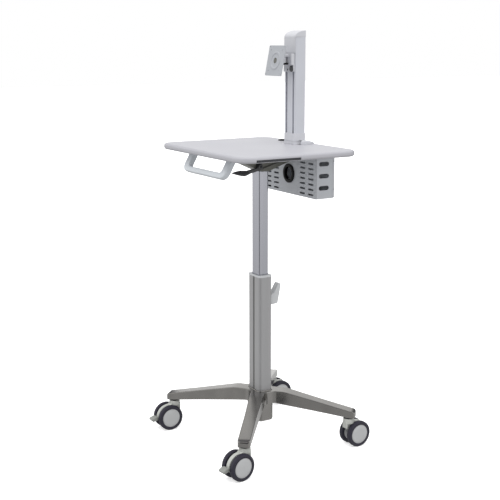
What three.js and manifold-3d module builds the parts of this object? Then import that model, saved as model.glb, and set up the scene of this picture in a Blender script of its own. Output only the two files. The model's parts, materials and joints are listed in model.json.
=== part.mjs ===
// Height-adjustable point-of-care cart: a cast star base on four twin-wheel casters, a telescopic
// column with a lockable gas spring, a worksurface with a push handle and a slide-out mouse tray,
// a vented equipment box under its rear edge, and a mast that carries a tilting monitor plate.
// Millimetres. Origin on the floor, on the column's axis. +Z is up, -Y faces the user.
import * as THREE from "three";
import { mergeVertices } from "three/addons/utils/BufferGeometryUtils.js";
import Module from "manifold-3d";

const wasm = await Module();
wasm.setup();

// ---- Driving dimensions -------------------------------------------------------------------

const GAP = 0.3; // clearance between two pieces that touch

const CASTER = {
  radius: 50, // wheel radius
  trail: 30, // wheel centre behind the swivel axis
  innerFace: 14, // wheel's inner face from the caster's middle
  outerFace: 33,
  hubRadius: 36.2,
  axleRadius: 4,
  sides: 28,
  neckRadius: 21,
  top: 113, // top of the housing
  legPad: 116.5, // underside of the leg at the stem
  ringRadius: 20, // dust ring between the housing and the leg
  stemRadius: 6,
  stemBottom: 92,
  stemTop: 133,
};
// Swivel axis of each caster, the direction in degrees that its wheels trail, and its brake.
const CORNERS = [
  { name: "front_left", at: [-276, -231], heading: 269.4, brake: true },
  { name: "front_right", at: [276, -231], heading: 278.1, brake: true },
  { name: "rear_right", at: [240, 247], heading: 91.9, brake: false },
  { name: "rear_left", at: [-301, 240], heading: 88, brake: false },
];

const LEG = {
  halfWidth: 22.5, // half width at the stem
  hubHalfWidth: 27, // half width at the hub
  flareStart: 84, // the leg narrows between these distances from the column's axis
  flareEnd: 234,
  wall: 5,
  top: 204,
  tipTop: 144,
  hubReach: 98,
  hubBottom: 156.7,
  overhang: 14,
};
const OUTER = { halfX: 42, halfY: 28, corner: 11, wall: 2.6, bottom: 90.3, top: 648 };
const INNER = { halfX: 26, halfY: 21, corner: 5, wall: 2.8, bottom: 462, top: 1045 };
const POT = { halfX: 50, halfY: 33, corner: 16, bottom: 84, floor: 6 };
const BEZEL = { rim: 1.5, bottom: 622, top: 655 };
const SPRING = {
  radius: 14,
  bore: 11,
  rod: 5,
  rodTop: 1051,
  top: 612,
  pistonBottom: 462,
  pistonTop: 474,
};
const DESK = {
  halfX: 312,
  front: -260,
  rear: 222,
  bottom: 1113,
  top: 1135,
  nose: 8,
  frontCorner: 58,
  rearCorner: 52,
};
const TRAY = { inner: 112, outer: 311.4, front: -202, rear: -27, bottom: 1116.3, top: 1123.7 };
const BOX = { halfX: 179, front: 127, lidFront: 197.4, rear: 207.5, bottom: 949, sheet: 2 };
const YOKE = { halfX: 40, sheet: 3, lip: 9, rear: 124, bottom: 1045.3 };
const LEVER = { x: 50, pivotY: -30, pivotZ: 1066, shaft: 3, fingerReach: 30 };
const MAST = { halfX: 36, front: 128, rear: 173, top: 1524, wall: 3, slotX: 22.5, lip: 5, slot: 8 };
const MOUNT = { panY: 100, centreY: 64, centreZ: 1441, tilt: 11.3, side: 110, thickness: 3 };
const CARRIAGE = { halfX: 33, front: 112, bottom: 1424, top: 1466, apronBottom: 1400 };
const KNOB = { z: 1411.5, radius: 11.5, front: 116, rear: 120.6, stud: 2.1 };
const CABLE_HOLE = [-126, 184]; // centre of the cable hole in the worksurface
const CABLE_RADIUS = 18.6;
const RAD = Math.PI / 180;

// ---- Solids -------------------------------------------------------------------------------

function toSolid(geometry) {
  const bare = geometry.clone();
  bare.deleteAttribute("normal");
  bare.deleteAttribute("uv");
  const merged = mergeVertices(bare, 1e-4);
  return new wasm.Manifold(
    new wasm.Mesh({
      numProp: 3,
      vertProperties: merged.attributes.position.array,
      triVerts: new Uint32Array(merged.index.array),
    }),
  );
}

function toGeometry(solid) {
  const mesh = solid.getMesh();
  const positions = new Float32Array(mesh.numVert * 3);
  for (let i = 0; i < mesh.numVert; i++) {
    positions.set(mesh.vertProperties.subarray(i * mesh.numProp, i * mesh.numProp + 3), i * 3);
  }
  const indexed = new THREE.BufferGeometry();
  indexed.setAttribute("position", new THREE.BufferAttribute(positions, 3));
  indexed.setIndex(new THREE.BufferAttribute(new Uint32Array(mesh.triVerts), 1));
  const flat = indexed.toNonIndexed();
  flat.computeVertexNormals();
  return flat;
}

const join = (...solids) => solids.reduce((sum, solid) => sum.add(solid));
const cut = (solid, ...tools) => tools.reduce((left, tool) => left.subtract(tool), solid);

// Outline of a rectangle about the origin with rounded corners.
function roundedRect(halfX, halfY, corner, steps = 4) {
  const centres = [
    [halfX - corner, halfY - corner, 0],
    [corner - halfX, halfY - corner, 90],
    [corner - halfX, corner - halfY, 180],
    [halfX - corner, corner - halfY, 270],
  ];
  const outline = [];
  for (const [cx, cy, start] of centres) {
    for (let i = 0; i <= steps; i++) {
      const angle = (start + (90 * i) / steps) * RAD;
      outline.push([cx + corner * Math.cos(angle), cy + corner * Math.sin(angle)]);
    }
  }
  return outline;
}

// Points of an arc, both ends included, angles in degrees.
function arc(cx, cy, radius, from, to, steps) {
  const outline = [];
  for (let i = 0; i <= steps; i++) {
    const angle = (from + ((to - from) * i) / steps) * RAD;
    outline.push([cx + radius * Math.cos(angle), cy + radius * Math.sin(angle)]);
  }
  return outline;
}

const circle = (cx, cy, radius, sides) => arc(cx, cy, radius, 0, 360 - 360 / sides, sides - 1);
const shapeOf = (outline) => new THREE.Shape(outline.map(([x, y]) => new THREE.Vector2(x, y)));
const extruded = (outline, depth) =>
  new THREE.ExtrudeGeometry(shapeOf(outline), { depth, bevelEnabled: false });

// An outline in (x, y), extruded from z0 to z1.
function alongZ(outline, z0, z1) {
  return toSolid(extruded(outline, z1 - z0).translate(0, 0, z0));
}

// An outline in (y, z), extruded from x0 to x1.
function alongX(outline, x0, x1) {
  const turn = new THREE.Matrix4().set(0, 0, 1, x0, 1, 0, 0, 0, 0, 1, 0, 0, 0, 0, 0, 1);
  return toSolid(extruded(outline, x1 - x0).applyMatrix4(turn));
}

// An outline in (x, z), extruded from y0 to y1.
function alongY(outline, y0, y1) {
  const turn = new THREE.Matrix4().set(1, 0, 0, 0, 0, 0, -1, y1, 0, 1, 0, 0, 0, 0, 0, 1);
  return toSolid(extruded(outline, y1 - y0).applyMatrix4(turn));
}

function box(x0, x1, y0, y1, z0, z1) {
  const geometry = new THREE.BoxGeometry(x1 - x0, y1 - y0, z1 - z0);
  return toSolid(geometry.translate((x0 + x1) / 2, (y0 + y1) / 2, (z0 + z1) / 2));
}

// A profile of [radius, height] turned about the Z axis, with a flat of the polygon facing -Y.
function turned(profile, sides) {
  const points = profile.map(([radius, height]) => new THREE.Vector2(radius, height));
  const geometry = new THREE.LatheGeometry(points, sides, Math.PI / sides);
  return toSolid(geometry.rotateX(Math.PI / 2));
}

// A profile of [radius, y] turned about the Y axis.
const turnedAlongY = (profile, sides) =>
  turned([...profile].reverse().map(([radius, y]) => [radius, -y]), sides).rotate([90, 0, 0]);

// A mirror copy across the plane x = 0.
const mirrored = (solid) => solid.mirror([1, 0, 0]);
const bothSides = (solid) => join(solid, mirrored(solid));

// ---- Scene graph --------------------------------------------------------------------------

const FINISH = {
  castAluminium: { color: 0x8d8a85, roughness: 0.28, metalness: 1 },
  anodised: { color: 0xa9acb2, roughness: 0.38, metalness: 1 },
  silverPaint: { color: 0xc4c6ca, roughness: 0.5, metalness: 0.2 },
  lightPlastic: { color: 0xcfd0d4, roughness: 0.55, metalness: 0 },
  casterPlastic: { color: 0xb4b6b0, roughness: 0.5, metalness: 0 },
  capPlastic: { color: 0xc2c3c2, roughness: 0.45, metalness: 0 },
  darkPlastic: { color: 0x3c3c3e, roughness: 0.55, metalness: 0 },
  blackPlastic: { color: 0x121214, roughness: 0.5, metalness: 0 },
  tyre: { color: 0x35323f, roughness: 0.7, metalness: 0 },
  steel: { color: 0x9a9a9c, roughness: 0.35, metalness: 1 },
  darkSteel: { color: 0x6a6964, roughness: 0.5, metalness: 0.5 },
};

const cart = new THREE.Group();

function add(name, solid, finish, parent = cart) {
  const mesh = new THREE.Mesh(toGeometry(solid), new THREE.MeshStandardMaterial(finish));
  mesh.name = name;
  parent.add(mesh);
  return mesh;
}

// ---- Base ---------------------------------------------------------------------------------

// One leg, built along +X from the column's axis to past its stem, then turned to its corner.
function leg([stemX, stemY]) {
  const reach = Math.hypot(stemX, stemY);
  const tip = reach + LEG.overhang;
  const { tipTop, halfWidth, hubHalfWidth, flareStart, flareEnd } = LEG;
  const outline = [
    [0, LEG.hubBottom],
    [60, LEG.hubBottom],
    [reach + 8, CASTER.legPad + 1],
    [tip + 10, CASTER.legPad + 1],
    [tip + 13, CASTER.legPad + 12],
    [tip, tipTop],
    [LEG.hubReach, LEG.top],
    [0, LEG.top],
  ];
  const inside = [
    [66, 100],
    [reach - 4, 100],
    [reach - 4, tipTop - LEG.wall],
    [LEG.hubReach, LEG.top - LEG.wall - 4],
    [66, LEG.top - LEG.wall - 4],
  ];
  const plan = [
    [0, -hubHalfWidth], [flareStart, -hubHalfWidth], [flareEnd, -halfWidth], [tip + 20, -halfWidth],
    [tip + 20, halfWidth], [flareEnd, halfWidth], [flareStart, hubHalfWidth], [0, hubHalfWidth],
  ];
  const bar = alongY(outline, -hubHalfWidth, hubHalfWidth).intersect(alongZ(plan, 60, LEG.top + 10));
  const hollow = halfWidth - LEG.wall;
  const shell = cut(bar, alongY(inside, -hollow, hollow));
  const boss = alongZ(circle(reach, 0, CASTER.neckRadius, 20), CASTER.legPad, tipTop - 3);
  return join(shell, boss).rotate([0, 0, Math.atan2(stemY, stemX) / RAD]);
}

function baseCasting() {
  const hub = alongZ(roundedRect(60, 47, 30), LEG.hubBottom, LEG.top);
  const star = join(hub, ...CORNERS.map((corner) => leg(corner.at)));
  const columnHole = roundedRect(OUTER.halfX + GAP, OUTER.halfY + GAP, OUTER.corner + GAP);
  const stemHoles = CORNERS.map(({ at: [x, y] }) =>
    alongZ(circle(x, y, 6 + GAP, 12), CASTER.legPad - 1, 134),
  );
  return cut(star, alongZ(columnHole, 60, 230), ...stemHoles);
}

// Cup that closes the column's lower end under the hub.
function hubPot() {
  const outline = roundedRect(POT.halfX, POT.halfY, POT.corner);
  const outside = alongZ(outline, POT.bottom, LEG.hubBottom - GAP);
  const cavity = roundedRect(OUTER.halfX + GAP, OUTER.halfY + GAP, OUTER.corner + GAP);
  return cut(outside, alongZ(cavity, POT.bottom + POT.floor, LEG.hubBottom + 1));
}

function outerColumn() {
  const { halfX, halfY, corner, wall, bottom, top } = OUTER;
  const groove = (y0, y1) => box(-4, 4, y0, y1, bottom - 1, top + 1);
  return cut(
    alongZ(roundedRect(halfX, halfY, corner), bottom, top),
    alongZ(roundedRect(halfX - wall, halfY - wall, corner - wall), bottom - 1, top + 1),
    groove(-halfY - 1, -halfY + 1.6),
    groove(halfY - 1.6, halfY + 1),
  );
}

// Guide collar in the top of the outer column, with a rim that caps its edge.
function columnBezel() {
  const { rim, bottom, top } = BEZEL;
  const seat = OUTER.top + GAP;
  const rimOutline = roundedRect(OUTER.halfX + rim, OUTER.halfY + rim, OUTER.corner + rim);
  const inset = OUTER.wall + GAP;
  const skirt = roundedRect(OUTER.halfX - inset, OUTER.halfY - inset, OUTER.corner - inset);
  const passage = roundedRect(INNER.halfX + 0.5, INNER.halfY + 0.5, INNER.corner + 0.5);
  const collar = join(alongZ(rimOutline, seat, top), alongZ(skirt, bottom, seat + 0.1));
  return cut(collar, alongZ(passage, bottom - 1, top + 1));
}

// Cord cleat on the back of the outer column: its arm flares up and outwards.
function cordHook() {
  const back = OUTER.halfY + GAP;
  const outline = [
    [back, 531], [72, 534], [84, 604], [80, 611], [74, 610], [52, 574], [44, 570], [back, 572],
  ];
  return alongX(outline, -14, 14);
}

function springCylinder() {
  const { radius, bore, rod, top } = SPRING;
  const bottom = OUTER.bottom;
  const profile = [
    [0, bottom], [radius, bottom], [radius, top], [rod + 0.5, top],
    [rod + 0.5, top - 12], [bore, top - 12], [bore, bottom + 4], [0, bottom + 4],
  ];
  return turned(profile, 20);
}

add("base_casting", baseCasting(), FINISH.castAluminium);
add("hub_pot", hubPot(), FINISH.castAluminium);
add("outer_column", outerColumn(), FINISH.anodised);
add("column_bezel", columnBezel(), FINISH.lightPlastic);
add("cord_hook", cordHook(), FINISH.lightPlastic);
add("gas_spring_cylinder", springCylinder(), FINISH.blackPlastic);

// ---- Casters ------------------------------------------------------------------------------
// Each caster is built with its swivel axis at the origin and its wheels trailing along +X.

function casterStem() {
  const { top, legPad, ringRadius, stemRadius, stemBottom, stemTop } = CASTER;
  const ring = alongZ(circle(0, 0, ringRadius, 20), top + GAP, legPad - GAP);
  return join(ring, alongZ(circle(0, 0, stemRadius, 12), stemBottom, stemTop));
}

function casterHousing(brake) {
  const { trail, radius, axleRadius, neckRadius, top } = CASTER;
  const width = CASTER.innerFace - 1.5;
  const neck = alongZ(circle(0, 0, neckRadius, 24), 86, top);
  const fenderOuter = radius - 2.5;
  const fender = [
    ...arc(trail, radius, fenderOuter, -8, 140, 12),
    ...arc(trail, radius, fenderOuter - 6, 140, -8, 10),
  ];
  const web = [
    ...arc(trail, radius, fenderOuter - 5, -8, 140, 12),
    ...arc(trail, radius, 10, 200, 300, 5),
  ];
  const frame = join(
    neck,
    alongY(fender, -width, width),
    alongY(web, -4, 4),
    alongY(circle(trail, radius, 11, 16), -width, width),
  );
  const besideNeck = (side) => box(-40, 90, side > 0 ? width : -60, side > 0 ? 60 : -width, 0, 101.5);
  const stemBore = alongZ(circle(0, 0, 6.6, 12), 90, top + 1);
  const axleBore = alongY(circle(trail, radius, axleRadius + GAP, 16), -width - 1, width + 1);
  const pedalBay = box(trail + 30, trail + 60, -width - 1, width + 1, 20, 62);
  const trimmed = cut(frame, besideNeck(1), besideNeck(-1), stemBore, axleBore);
  return brake ? cut(trimmed, pedalBay) : trimmed;
}

// Hub and tyre of the wheel on the +Y side: outer face at the top of the turned profile.
function wheelHub() {
  const { innerFace, outerFace, hubRadius, axleRadius, sides } = CASTER;
  const bore = axleRadius + 0.35;
  return turned(
    [
      [0, innerFace + 16.5], [bore, innerFace + 16.5], [bore, innerFace], [hubRadius, innerFace],
      [hubRadius, outerFace - 2], [hubRadius - 5, outerFace], [0, outerFace + 0.8],
    ],
    sides,
  );
}

function wheelTyre() {
  const { radius, innerFace, outerFace, hubRadius, sides } = CASTER;
  const inner = hubRadius + 0.4;
  const rim = radius / Math.cos(Math.PI / sides);
  return turned(
    [
      [inner, innerFace + 0.5], [rim - 4, innerFace + 0.5], [rim, innerFace + 4.5], [rim, outerFace - 5],
      [rim - 4.5, outerFace], [inner, outerFace - 1.2], [inner, innerFace + 0.5],
    ],
    sides,
  );
}

function casterAxle() {
  const half = CASTER.innerFace + 15.8;
  return turned([[0, -half], [CASTER.axleRadius, -half], [CASTER.axleRadius, half], [0, half]], 16);
}

// Foot pedal of the brake: hinged in the housing behind the axle, with a flared toe plate.
function brakePedal() {
  const rear = CASTER.trail + 34;
  const arm = [
    [rear - 3, 44], [rear + 1, 52], [rear + 20, 57], [rear + 20, 49], [rear + 6, 38], [rear - 1, 38],
  ];
  const toe = [
    [rear + 18, 58], [rear + 30, 57], [rear + 42, 52], [rear + 43, 46], [rear + 36, 40], [rear + 18, 44],
  ];
  const width = CASTER.innerFace - 3;
  return join(alongY(arm, -width, width), alongY(toe, -width - 3, width + 3));
}

const wheelTurn = (side) => new THREE.Euler(-side * 90 * RAD, 0, 0);

for (const { name, at, heading, brake } of CORNERS) {
  const caster = new THREE.Group();
  caster.position.set(at[0], at[1], 0);
  caster.rotation.z = heading * RAD;
  cart.add(caster);
  add(`${name}_stem`, casterStem(), FINISH.darkSteel, caster);
  add(`${name}_housing`, casterHousing(brake), FINISH.casterPlastic, caster);
  const axle = new THREE.Group();
  axle.position.set(CASTER.trail, 0, CASTER.radius);
  caster.add(axle);
  add(`${name}_axle`, casterAxle(), FINISH.steel, axle).rotation.x = 90 * RAD;
  for (const [label, side] of [["a", 1], ["b", -1]]) {
    add(`${name}_hub_${label}`, wheelHub(), FINISH.capPlastic, axle).rotation.copy(wheelTurn(side));
    add(`${name}_tyre_${label}`, wheelTyre(), FINISH.tyre, axle).rotation.copy(wheelTurn(side));
  }
  if (brake) add(`${name}_brake_pedal`, brakePedal(), FINISH.casterPlastic, caster);
}

// ---- Lift: inner column, glide, gas spring rod --------------------------------------------

function innerColumn() {
  const { halfX, halfY, corner, wall, bottom, top } = INNER;
  return cut(
    alongZ(roundedRect(halfX, halfY, corner, 3), bottom, top),
    alongZ(roundedRect(halfX - wall, halfY - wall, corner - wall, 3), bottom - 1, top + 1),
  );
}

// Sliding shoe around the inner column's lower end, with a lip that carries it.
function columnGlide() {
  const inset = OUTER.wall + 0.5;
  const outside = roundedRect(OUTER.halfX - inset, OUTER.halfY - inset, OUTER.corner - inset);
  const socket = roundedRect(INNER.halfX + GAP, INNER.halfY + GAP, INNER.corner + GAP, 3);
  return cut(
    alongZ(outside, INNER.bottom - 4, 500),
    alongZ(socket, INNER.bottom - GAP, 501),
    alongZ(roundedRect(20, 16.5, 4, 3), 440, 501),
  );
}

function springRod() {
  const { rod, bore, pistonBottom, pistonTop, rodTop } = SPRING;
  return turned(
    [
      [0, pistonBottom], [bore - 0.5, pistonBottom], [bore - 0.5, pistonTop], [rod, pistonTop],
      [rod, rodTop], [2.6, rodTop], [2.6, 1034], [0, 1034],
    ],
    16,
  );
}

function releasePin() {
  return turned([[0, 1040], [2.2, 1040], [2.2, 1062], [0, 1062]], 12);
}

add("inner_column", innerColumn(), FINISH.anodised);
add("column_glide", columnGlide(), FINISH.blackPlastic);
add("gas_spring_rod", springRod(), FINISH.steel);
add("release_pin", releasePin(), FINISH.steel);

// ---- Yoke and height lever ----------------------------------------------------------------

// Folded steel channel that carries the worksurface, with a plug that fits the inner column and a
// hanger beside the lever.
function columnYoke() {
  const { halfX, sheet, lip, rear, bottom } = YOKE;
  const top = DESK.bottom - GAP;
  const outline = [[-164, top], [-15, bottom], [15, bottom], [74, 1066], [rear, 1083], [rear, top]];
  const inside = [
    [-157, top + 1], [-14, bottom + sheet], [14, bottom + sheet], [73, 1069],
    [rear - sheet, 1086], [rear - sheet, top + 1],
  ];
  const channel = cut(alongX(outline, -halfX, halfX), alongX(inside, -halfX + sheet, halfX - sheet));
  const lipOutline = [[-16, 1053.5], [68, 1078.3], [84, 1083], [84, 1086.5], [68, 1081.8], [-16, 1057]];
  const lips = bothSides(alongX(lipOutline, halfX - 1, halfX + lip));
  const hanger = box(halfX - 1, halfX + 3.2, -41, -18, 1058, top);
  const inset = INNER.wall + GAP;
  const plugOutline = roundedRect(INNER.halfX - inset, INNER.halfY - inset, INNER.corner - inset, 3);
  const plug = alongZ(plugOutline, 1010, bottom + 1);
  const rodHole = alongZ(circle(0, 0, SPRING.rod + GAP, 16), 1000, bottom + 10);
  const shaftHole = alongX(circle(LEVER.pivotY, LEVER.pivotZ, LEVER.shaft + 0.5, 16), -60, 60);
  return cut(join(channel, lips, hanger, plug), rodHole, shaftHole);
}

// Hand lever on the right of the yoke: a thick paddle with a thin tip, a neck and a boss on the shaft.
function releaseLever() {
  const { x, pivotY, pivotZ, shaft } = LEVER;
  const plan = [
    [x - 6, -146], [x + 6, -146], [x + 20, -118], [x + 20, -102],
    [x + 7, -76], [x - 7, -76], [x - 20, -102], [x - 20, -118],
  ];
  const side = [
    [-147, 1048], [-120, 1038.5], [-102, 1036], [-76, 1042], [-76, 1053], [-118, 1055.5], [-147, 1050.5],
  ];
  const paddle = alongZ(plan, 1030, 1060).intersect(alongX(side, x - 25, x + 25));
  const neck = [
    [-100, 1036.5], [-22, 1055.5], [-20, 1062], [-24, 1072], [-30, 1075],
    [-36, 1072], [-44, 1061.5], [-94, 1053],
  ];
  const solid = join(paddle, alongX(neck, x - 6.5, x + 6.5));
  return cut(solid, alongX(circle(pivotY, pivotZ, shaft + GAP, 16), x - 10, x + 10));
}

// Cross shaft of the lever with the finger that presses the gas spring's release pin.
function releaseShaft() {
  const { x, pivotY, pivotZ, shaft, fingerReach } = LEVER;
  const shaftSolid = alongX(circle(pivotY, pivotZ, shaft, 16), -46, x + 8);
  const tip = pivotY + fingerReach + 6;
  const finger = [
    [pivotY - 5, 1061.5], [pivotY + 8, 1062.4], [tip, 1062.4],
    [tip, 1066], [pivotY + 8, 1071], [pivotY - 5, 1071],
  ];
  return join(shaftSolid, alongX(finger, -6, 6));
}

add("column_yoke", columnYoke(), FINISH.darkSteel);
add("release_lever", releaseLever(), FINISH.darkPlastic);
add("release_shaft", releaseShaft(), FINISH.steel);

// ---- Worksurface, handle, mouse tray ------------------------------------------------------

function worksurface() {
  const { halfX, front, rear, bottom, top, nose, frontCorner, rearCorner } = DESK;
  const outline = [
    ...arc(halfX - rearCorner, rear - rearCorner, rearCorner - nose, 0, 90, 6),
    ...arc(rearCorner - halfX, rear - rearCorner, rearCorner - nose, 90, 180, 6),
    ...arc(frontCorner - halfX, front + frontCorner, frontCorner - nose, 180, 270, 5),
    ...arc(halfX - frontCorner, front + frontCorner, frontCorner - nose, 270, 360, 5),
  ];
  const board = new THREE.ExtrudeGeometry(shapeOf(outline), {
    depth: top - bottom - 2 * nose,
    bevelThickness: nose,
    bevelSize: nose,
    bevelSegments: 3,
  }).translate(0, 0, bottom + nose);
  const pocket = box(
    TRAY.inner - 2, halfX + 1, TRAY.front - 1, TRAY.rear + 1, TRAY.bottom - 0.6, TRAY.top + 0.6,
  );
  const cableHole = alongZ(circle(...CABLE_HOLE, CABLE_RADIUS, 24), bottom - 1, top + 1);
  return cut(toSolid(board), pocket, cableHole);
}

// Lining of the cable hole left of the mast.
function deskGrommet() {
  const { top, bottom } = DESK;
  const lining = CABLE_RADIUS - 0.4;
  const bore = lining - 2.7;
  const flange = CABLE_RADIUS + 4;
  const profile = [
    [bore, bottom + 1], [lining, bottom + 1], [lining, top + GAP], [flange, top + GAP],
    [flange - 0.6, top + 3], [flange - 2.4, top + 4.7], [bore + 1, top + 4.7], [bore, top + 3.4],
    [bore, bottom + 1],
  ];
  return turned(profile, 24).translate([CABLE_HOLE[0], CABLE_HOLE[1], 0]);
}

// D-shaped push handle: a flat loop drawn in its own plane, leaning out towards the user.
function pushHandle() {
  const lean = 29.4 * RAD;
  const length = 75.4;
  const outside = [
    [156, 14], ...arc(126, 30 - length, 30, 0, -90, 5),
    ...arc(-126, 30 - length, 30, 270, 180, 5), [-156, 14],
  ];
  const inside = [
    [-121, 15], ...arc(-108, 34 - length, 13, 180, 270, 4),
    ...arc(108, 34 - length, 13, 270, 360, 4), [121, 15],
  ];
  const loop = cut(alongY(outside.reverse(), -11, 11), alongY(inside, -12, 12));
  const placed = loop.rotate([-lean / RAD, 0, 0]).translate([0, -199, 1108]);
  const foot = box(117, 160, -216, -182, 1108.5, DESK.bottom - GAP);
  const above = box(-200, 200, -300, -100, DESK.bottom - GAP, DESK.bottom + 60);
  return cut(join(placed, bothSides(foot)), above);
}

function mouseTray() {
  const { inner, outer, front, rear, bottom, top } = TRAY;
  const rim = 4;
  const recess = box(inner + rim, outer - 12, front + rim, rear - rim, bottom + 3.4, top + 1);
  return cut(box(inner, outer, front, rear, bottom, top), recess);
}

add("worksurface", worksurface(), FINISH.lightPlastic);
add("desk_grommet", deskGrommet(), FINISH.blackPlastic);
add("push_handle", pushHandle(), FINISH.lightPlastic);
add("mouse_tray", mouseTray(), FINISH.darkPlastic);

// ---- Equipment box ------------------------------------------------------------------------

const GROMMET_Z = 1026;

// A slot or hole with round ends, as an outline about (cx, cy).
function obround(cx, cy, halfLength, halfWidth, steps) {
  const run = halfLength - halfWidth;
  return [
    ...arc(cx + run, cy, halfWidth, -90, 90, steps),
    ...arc(cx - run, cy, halfWidth, 90, 270, steps),
  ];
}

function boxShell() {
  const { halfX, front, lidFront, bottom, sheet } = BOX;
  const top = DESK.bottom - GAP;
  const rear = lidFront - GAP;
  const cavity = box(-halfX + sheet, halfX - sheet, front + sheet, rear + 1, bottom + sheet, top + 1);
  const flange = join(
    box(-halfX + 1, halfX - 1, front + 1, front + 14, top - sheet, top),
    bothSides(box(halfX - 14, halfX - 1, front + 1, rear, top - sheet, top)),
  );
  const shell = join(cut(box(-halfX, halfX, front, rear, bottom, top), cavity), flange);
  const slots = [];
  for (const column of [-143.5, -89.5, 89.5, 143.5]) {
    for (let row = 0; row < 7; row++) {
      slots.push(alongY(obround(column, 1075 - 18.8 * row, 17, 3, 2), front - 1, front + sheet + 1));
    }
  }
  for (let row = 0; row < 3; row++) {
    slots.push(alongX(obround(161, 1076 - 43.7 * row, 22, 8, 5), halfX - 20, halfX + 5));
  }
  const ring = alongY(circle(0, GROMMET_Z, 33, 24), front - 1, front + sheet + 1);
  return cut(shell, ring, ...slots);
}

// Rear lid: a shallow pan screwed over the back of the box.
function boxLid() {
  const { halfX, lidFront, rear, bottom, sheet } = BOX;
  const top = DESK.bottom - GAP;
  const pan = box(-halfX, halfX, lidFront, rear, bottom, top);
  const hollow = box(
    -halfX + sheet, halfX - sheet, lidFront - 1, rear - sheet, bottom + sheet, top - sheet,
  );
  return cut(pan, hollow);
}

function boxGrommet() {
  const { front } = BOX;
  const profile = [
    [24, front - 6], [34, front - 6], [36, front - 3], [36, front - GAP], [32.6, front - GAP],
    [32.6, front + 6], [24, front + 6], [24, front - 6],
  ];
  return turnedAlongY(profile, 28).translate([0, 0, GROMMET_Z]);
}

add("box_shell", boxShell(), FINISH.silverPaint);
add("box_lid", boxLid(), FINISH.silverPaint);
add("box_grommet", boxGrommet(), FINISH.blackPlastic);

// ---- Mast ---------------------------------------------------------------------------------

const MAST_FOOT_TOP = 1176;
const FASCIA_BOTTOM = 1469;

// Extruded mast: a box section with a thick front wall that holds two T-slots.
function mastColumn() {
  const { halfX, front, rear, top, wall, slotX, lip, slot: half } = MAST;
  const bottom = DESK.top + GAP;
  const middle = (front + rear) / 2;
  const section = roundedRect(halfX, (rear - front) / 2, 4, 2).map(([x, y]) => [x, y + middle]);
  const hollow = box(-halfX + wall, halfX - wall, 142, rear - wall, bottom - 1, top + 1);
  const slot = (x) =>
    join(
      box(x - lip, x + lip, front - 1, 132.5, bottom - 1, top + 1),
      box(x - half, x + half, 131.5, 137, bottom - 1, top + 1),
    );
  return cut(alongZ(section, bottom, top), hollow, slot(slotX), slot(-slotX));
}

// Sloped cap of the mast, with the fascia that covers the top of the T-slots.
function mastCap() {
  const { halfX, front, rear, top } = MAST;
  const roof = [
    [front - 3, top + GAP], [rear, top + GAP], [rear, 1546], [rear - 4, 1548], [160, 1547.6],
    [147, 1545], [137, 1540.5], [130, 1535], [126.5, 1530], [front - 3, 1525.5],
  ];
  const fascia = box(-halfX, halfX, front - 3, front - GAP, FASCIA_BOTTOM, top + 1);
  return join(alongX(roof, -halfX, halfX), fascia);
}

// Shroud round the mast's foot, with a low tail that covers its fixing plate.
function mastFoot() {
  const { halfX, front, rear } = MAST;
  const bottom = DESK.top + GAP;
  const middle = (front + rear) / 2;
  const ringAt = (grow, corner) =>
    roundedRect(halfX + grow, (rear - front) / 2 + grow, corner, 3).map(([x, y]) => [x, y + middle]);
  const shroud = alongZ(ringAt(2, 5), bottom, MAST_FOOT_TOP);
  const plan = [
    [-46, 150], [46, 150], [55, 158], [55, 184], [40, 213], [-40, 213], [-55, 184], [-55, 158],
  ];
  const side = [[149, bottom], [214, bottom], [214, bottom + 5], [175, bottom + 15], [149, bottom + 15]];
  const tail = alongZ(plan, bottom, bottom + 16).intersect(alongX(side, -60, 60));
  return cut(join(shroud, tail), alongZ(ringAt(GAP, 4 + GAP), bottom - 1, MAST_FOOT_TOP + 1));
}

add("mast_column", mastColumn(), FINISH.silverPaint);
add("mast_cap", mastCap(), FINISH.lightPlastic);
add("mast_foot", mastFoot(), FINISH.lightPlastic);

// ---- Monitor mount ------------------------------------------------------------------------

// Block that slides on the mast: T-tongues in the slots, two lugs that hold the pan pivot.
function mountCarriage() {
  const { halfX, front, bottom, top, apronBottom } = CARRIAGE;
  const face = MAST.front - 0.6;
  const body = box(-halfX, halfX, front, face, bottom, top);
  const apron = box(-halfX, halfX, front + 9, face, apronBottom, bottom + 1);
  const [tongueLow, tongueHigh] = [apronBottom + 4, top - 2];
  const neck = MAST.lip - 0.6;
  const head = MAST.slot - 0.7;
  const tongue = (x) =>
    join(
      box(x - neck, x + neck, face - 1, 133.5, tongueLow, tongueHigh),
      box(x - head, x + head, 132.2, 136.3, tongueLow, tongueHigh),
    );
  const { panY } = MOUNT;
  const lugOutline = [[-13, front + 1], [13, front + 1], ...arc(0, panY, 12, 0, -180, 8)];
  const lug = (z0, z1) => alongZ([...lugOutline].reverse(), z0, z1);
  const lugs = join(lug(1454, 1462), lug(1426, 1432));
  const pivot = alongZ(circle(0, panY, 4.4, 16), 1400, 1500);
  const knobHole = alongY(circle(MAST.slotX, KNOB.z, KNOB.stud + GAP, 12), 110, 131.6);
  return cut(join(body, apron, lugs, tongue(MAST.slotX), tongue(-MAST.slotX)), pivot, knobHole);
}

// Clamp knob that locks the carriage at its height.
function carriageKnob() {
  const { stud, z, radius, front, rear } = KNOB;
  const profile = [
    [0, front], [radius - 1.5, front], [radius, front + 2], [radius, rear],
    [stud, rear], [stud, 131.2], [0, 131.2],
  ];
  return turnedAlongY(profile, 16).translate([MAST.slotX, 0, z]);
}

const tiltRadius = 20; // tilt axis behind the plate's front face
const TILT_AXIS = [
  MOUNT.centreY + tiltRadius * Math.cos(MOUNT.tilt * RAD),
  MOUNT.centreZ - tiltRadius * Math.sin(MOUNT.tilt * RAD),
];

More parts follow.
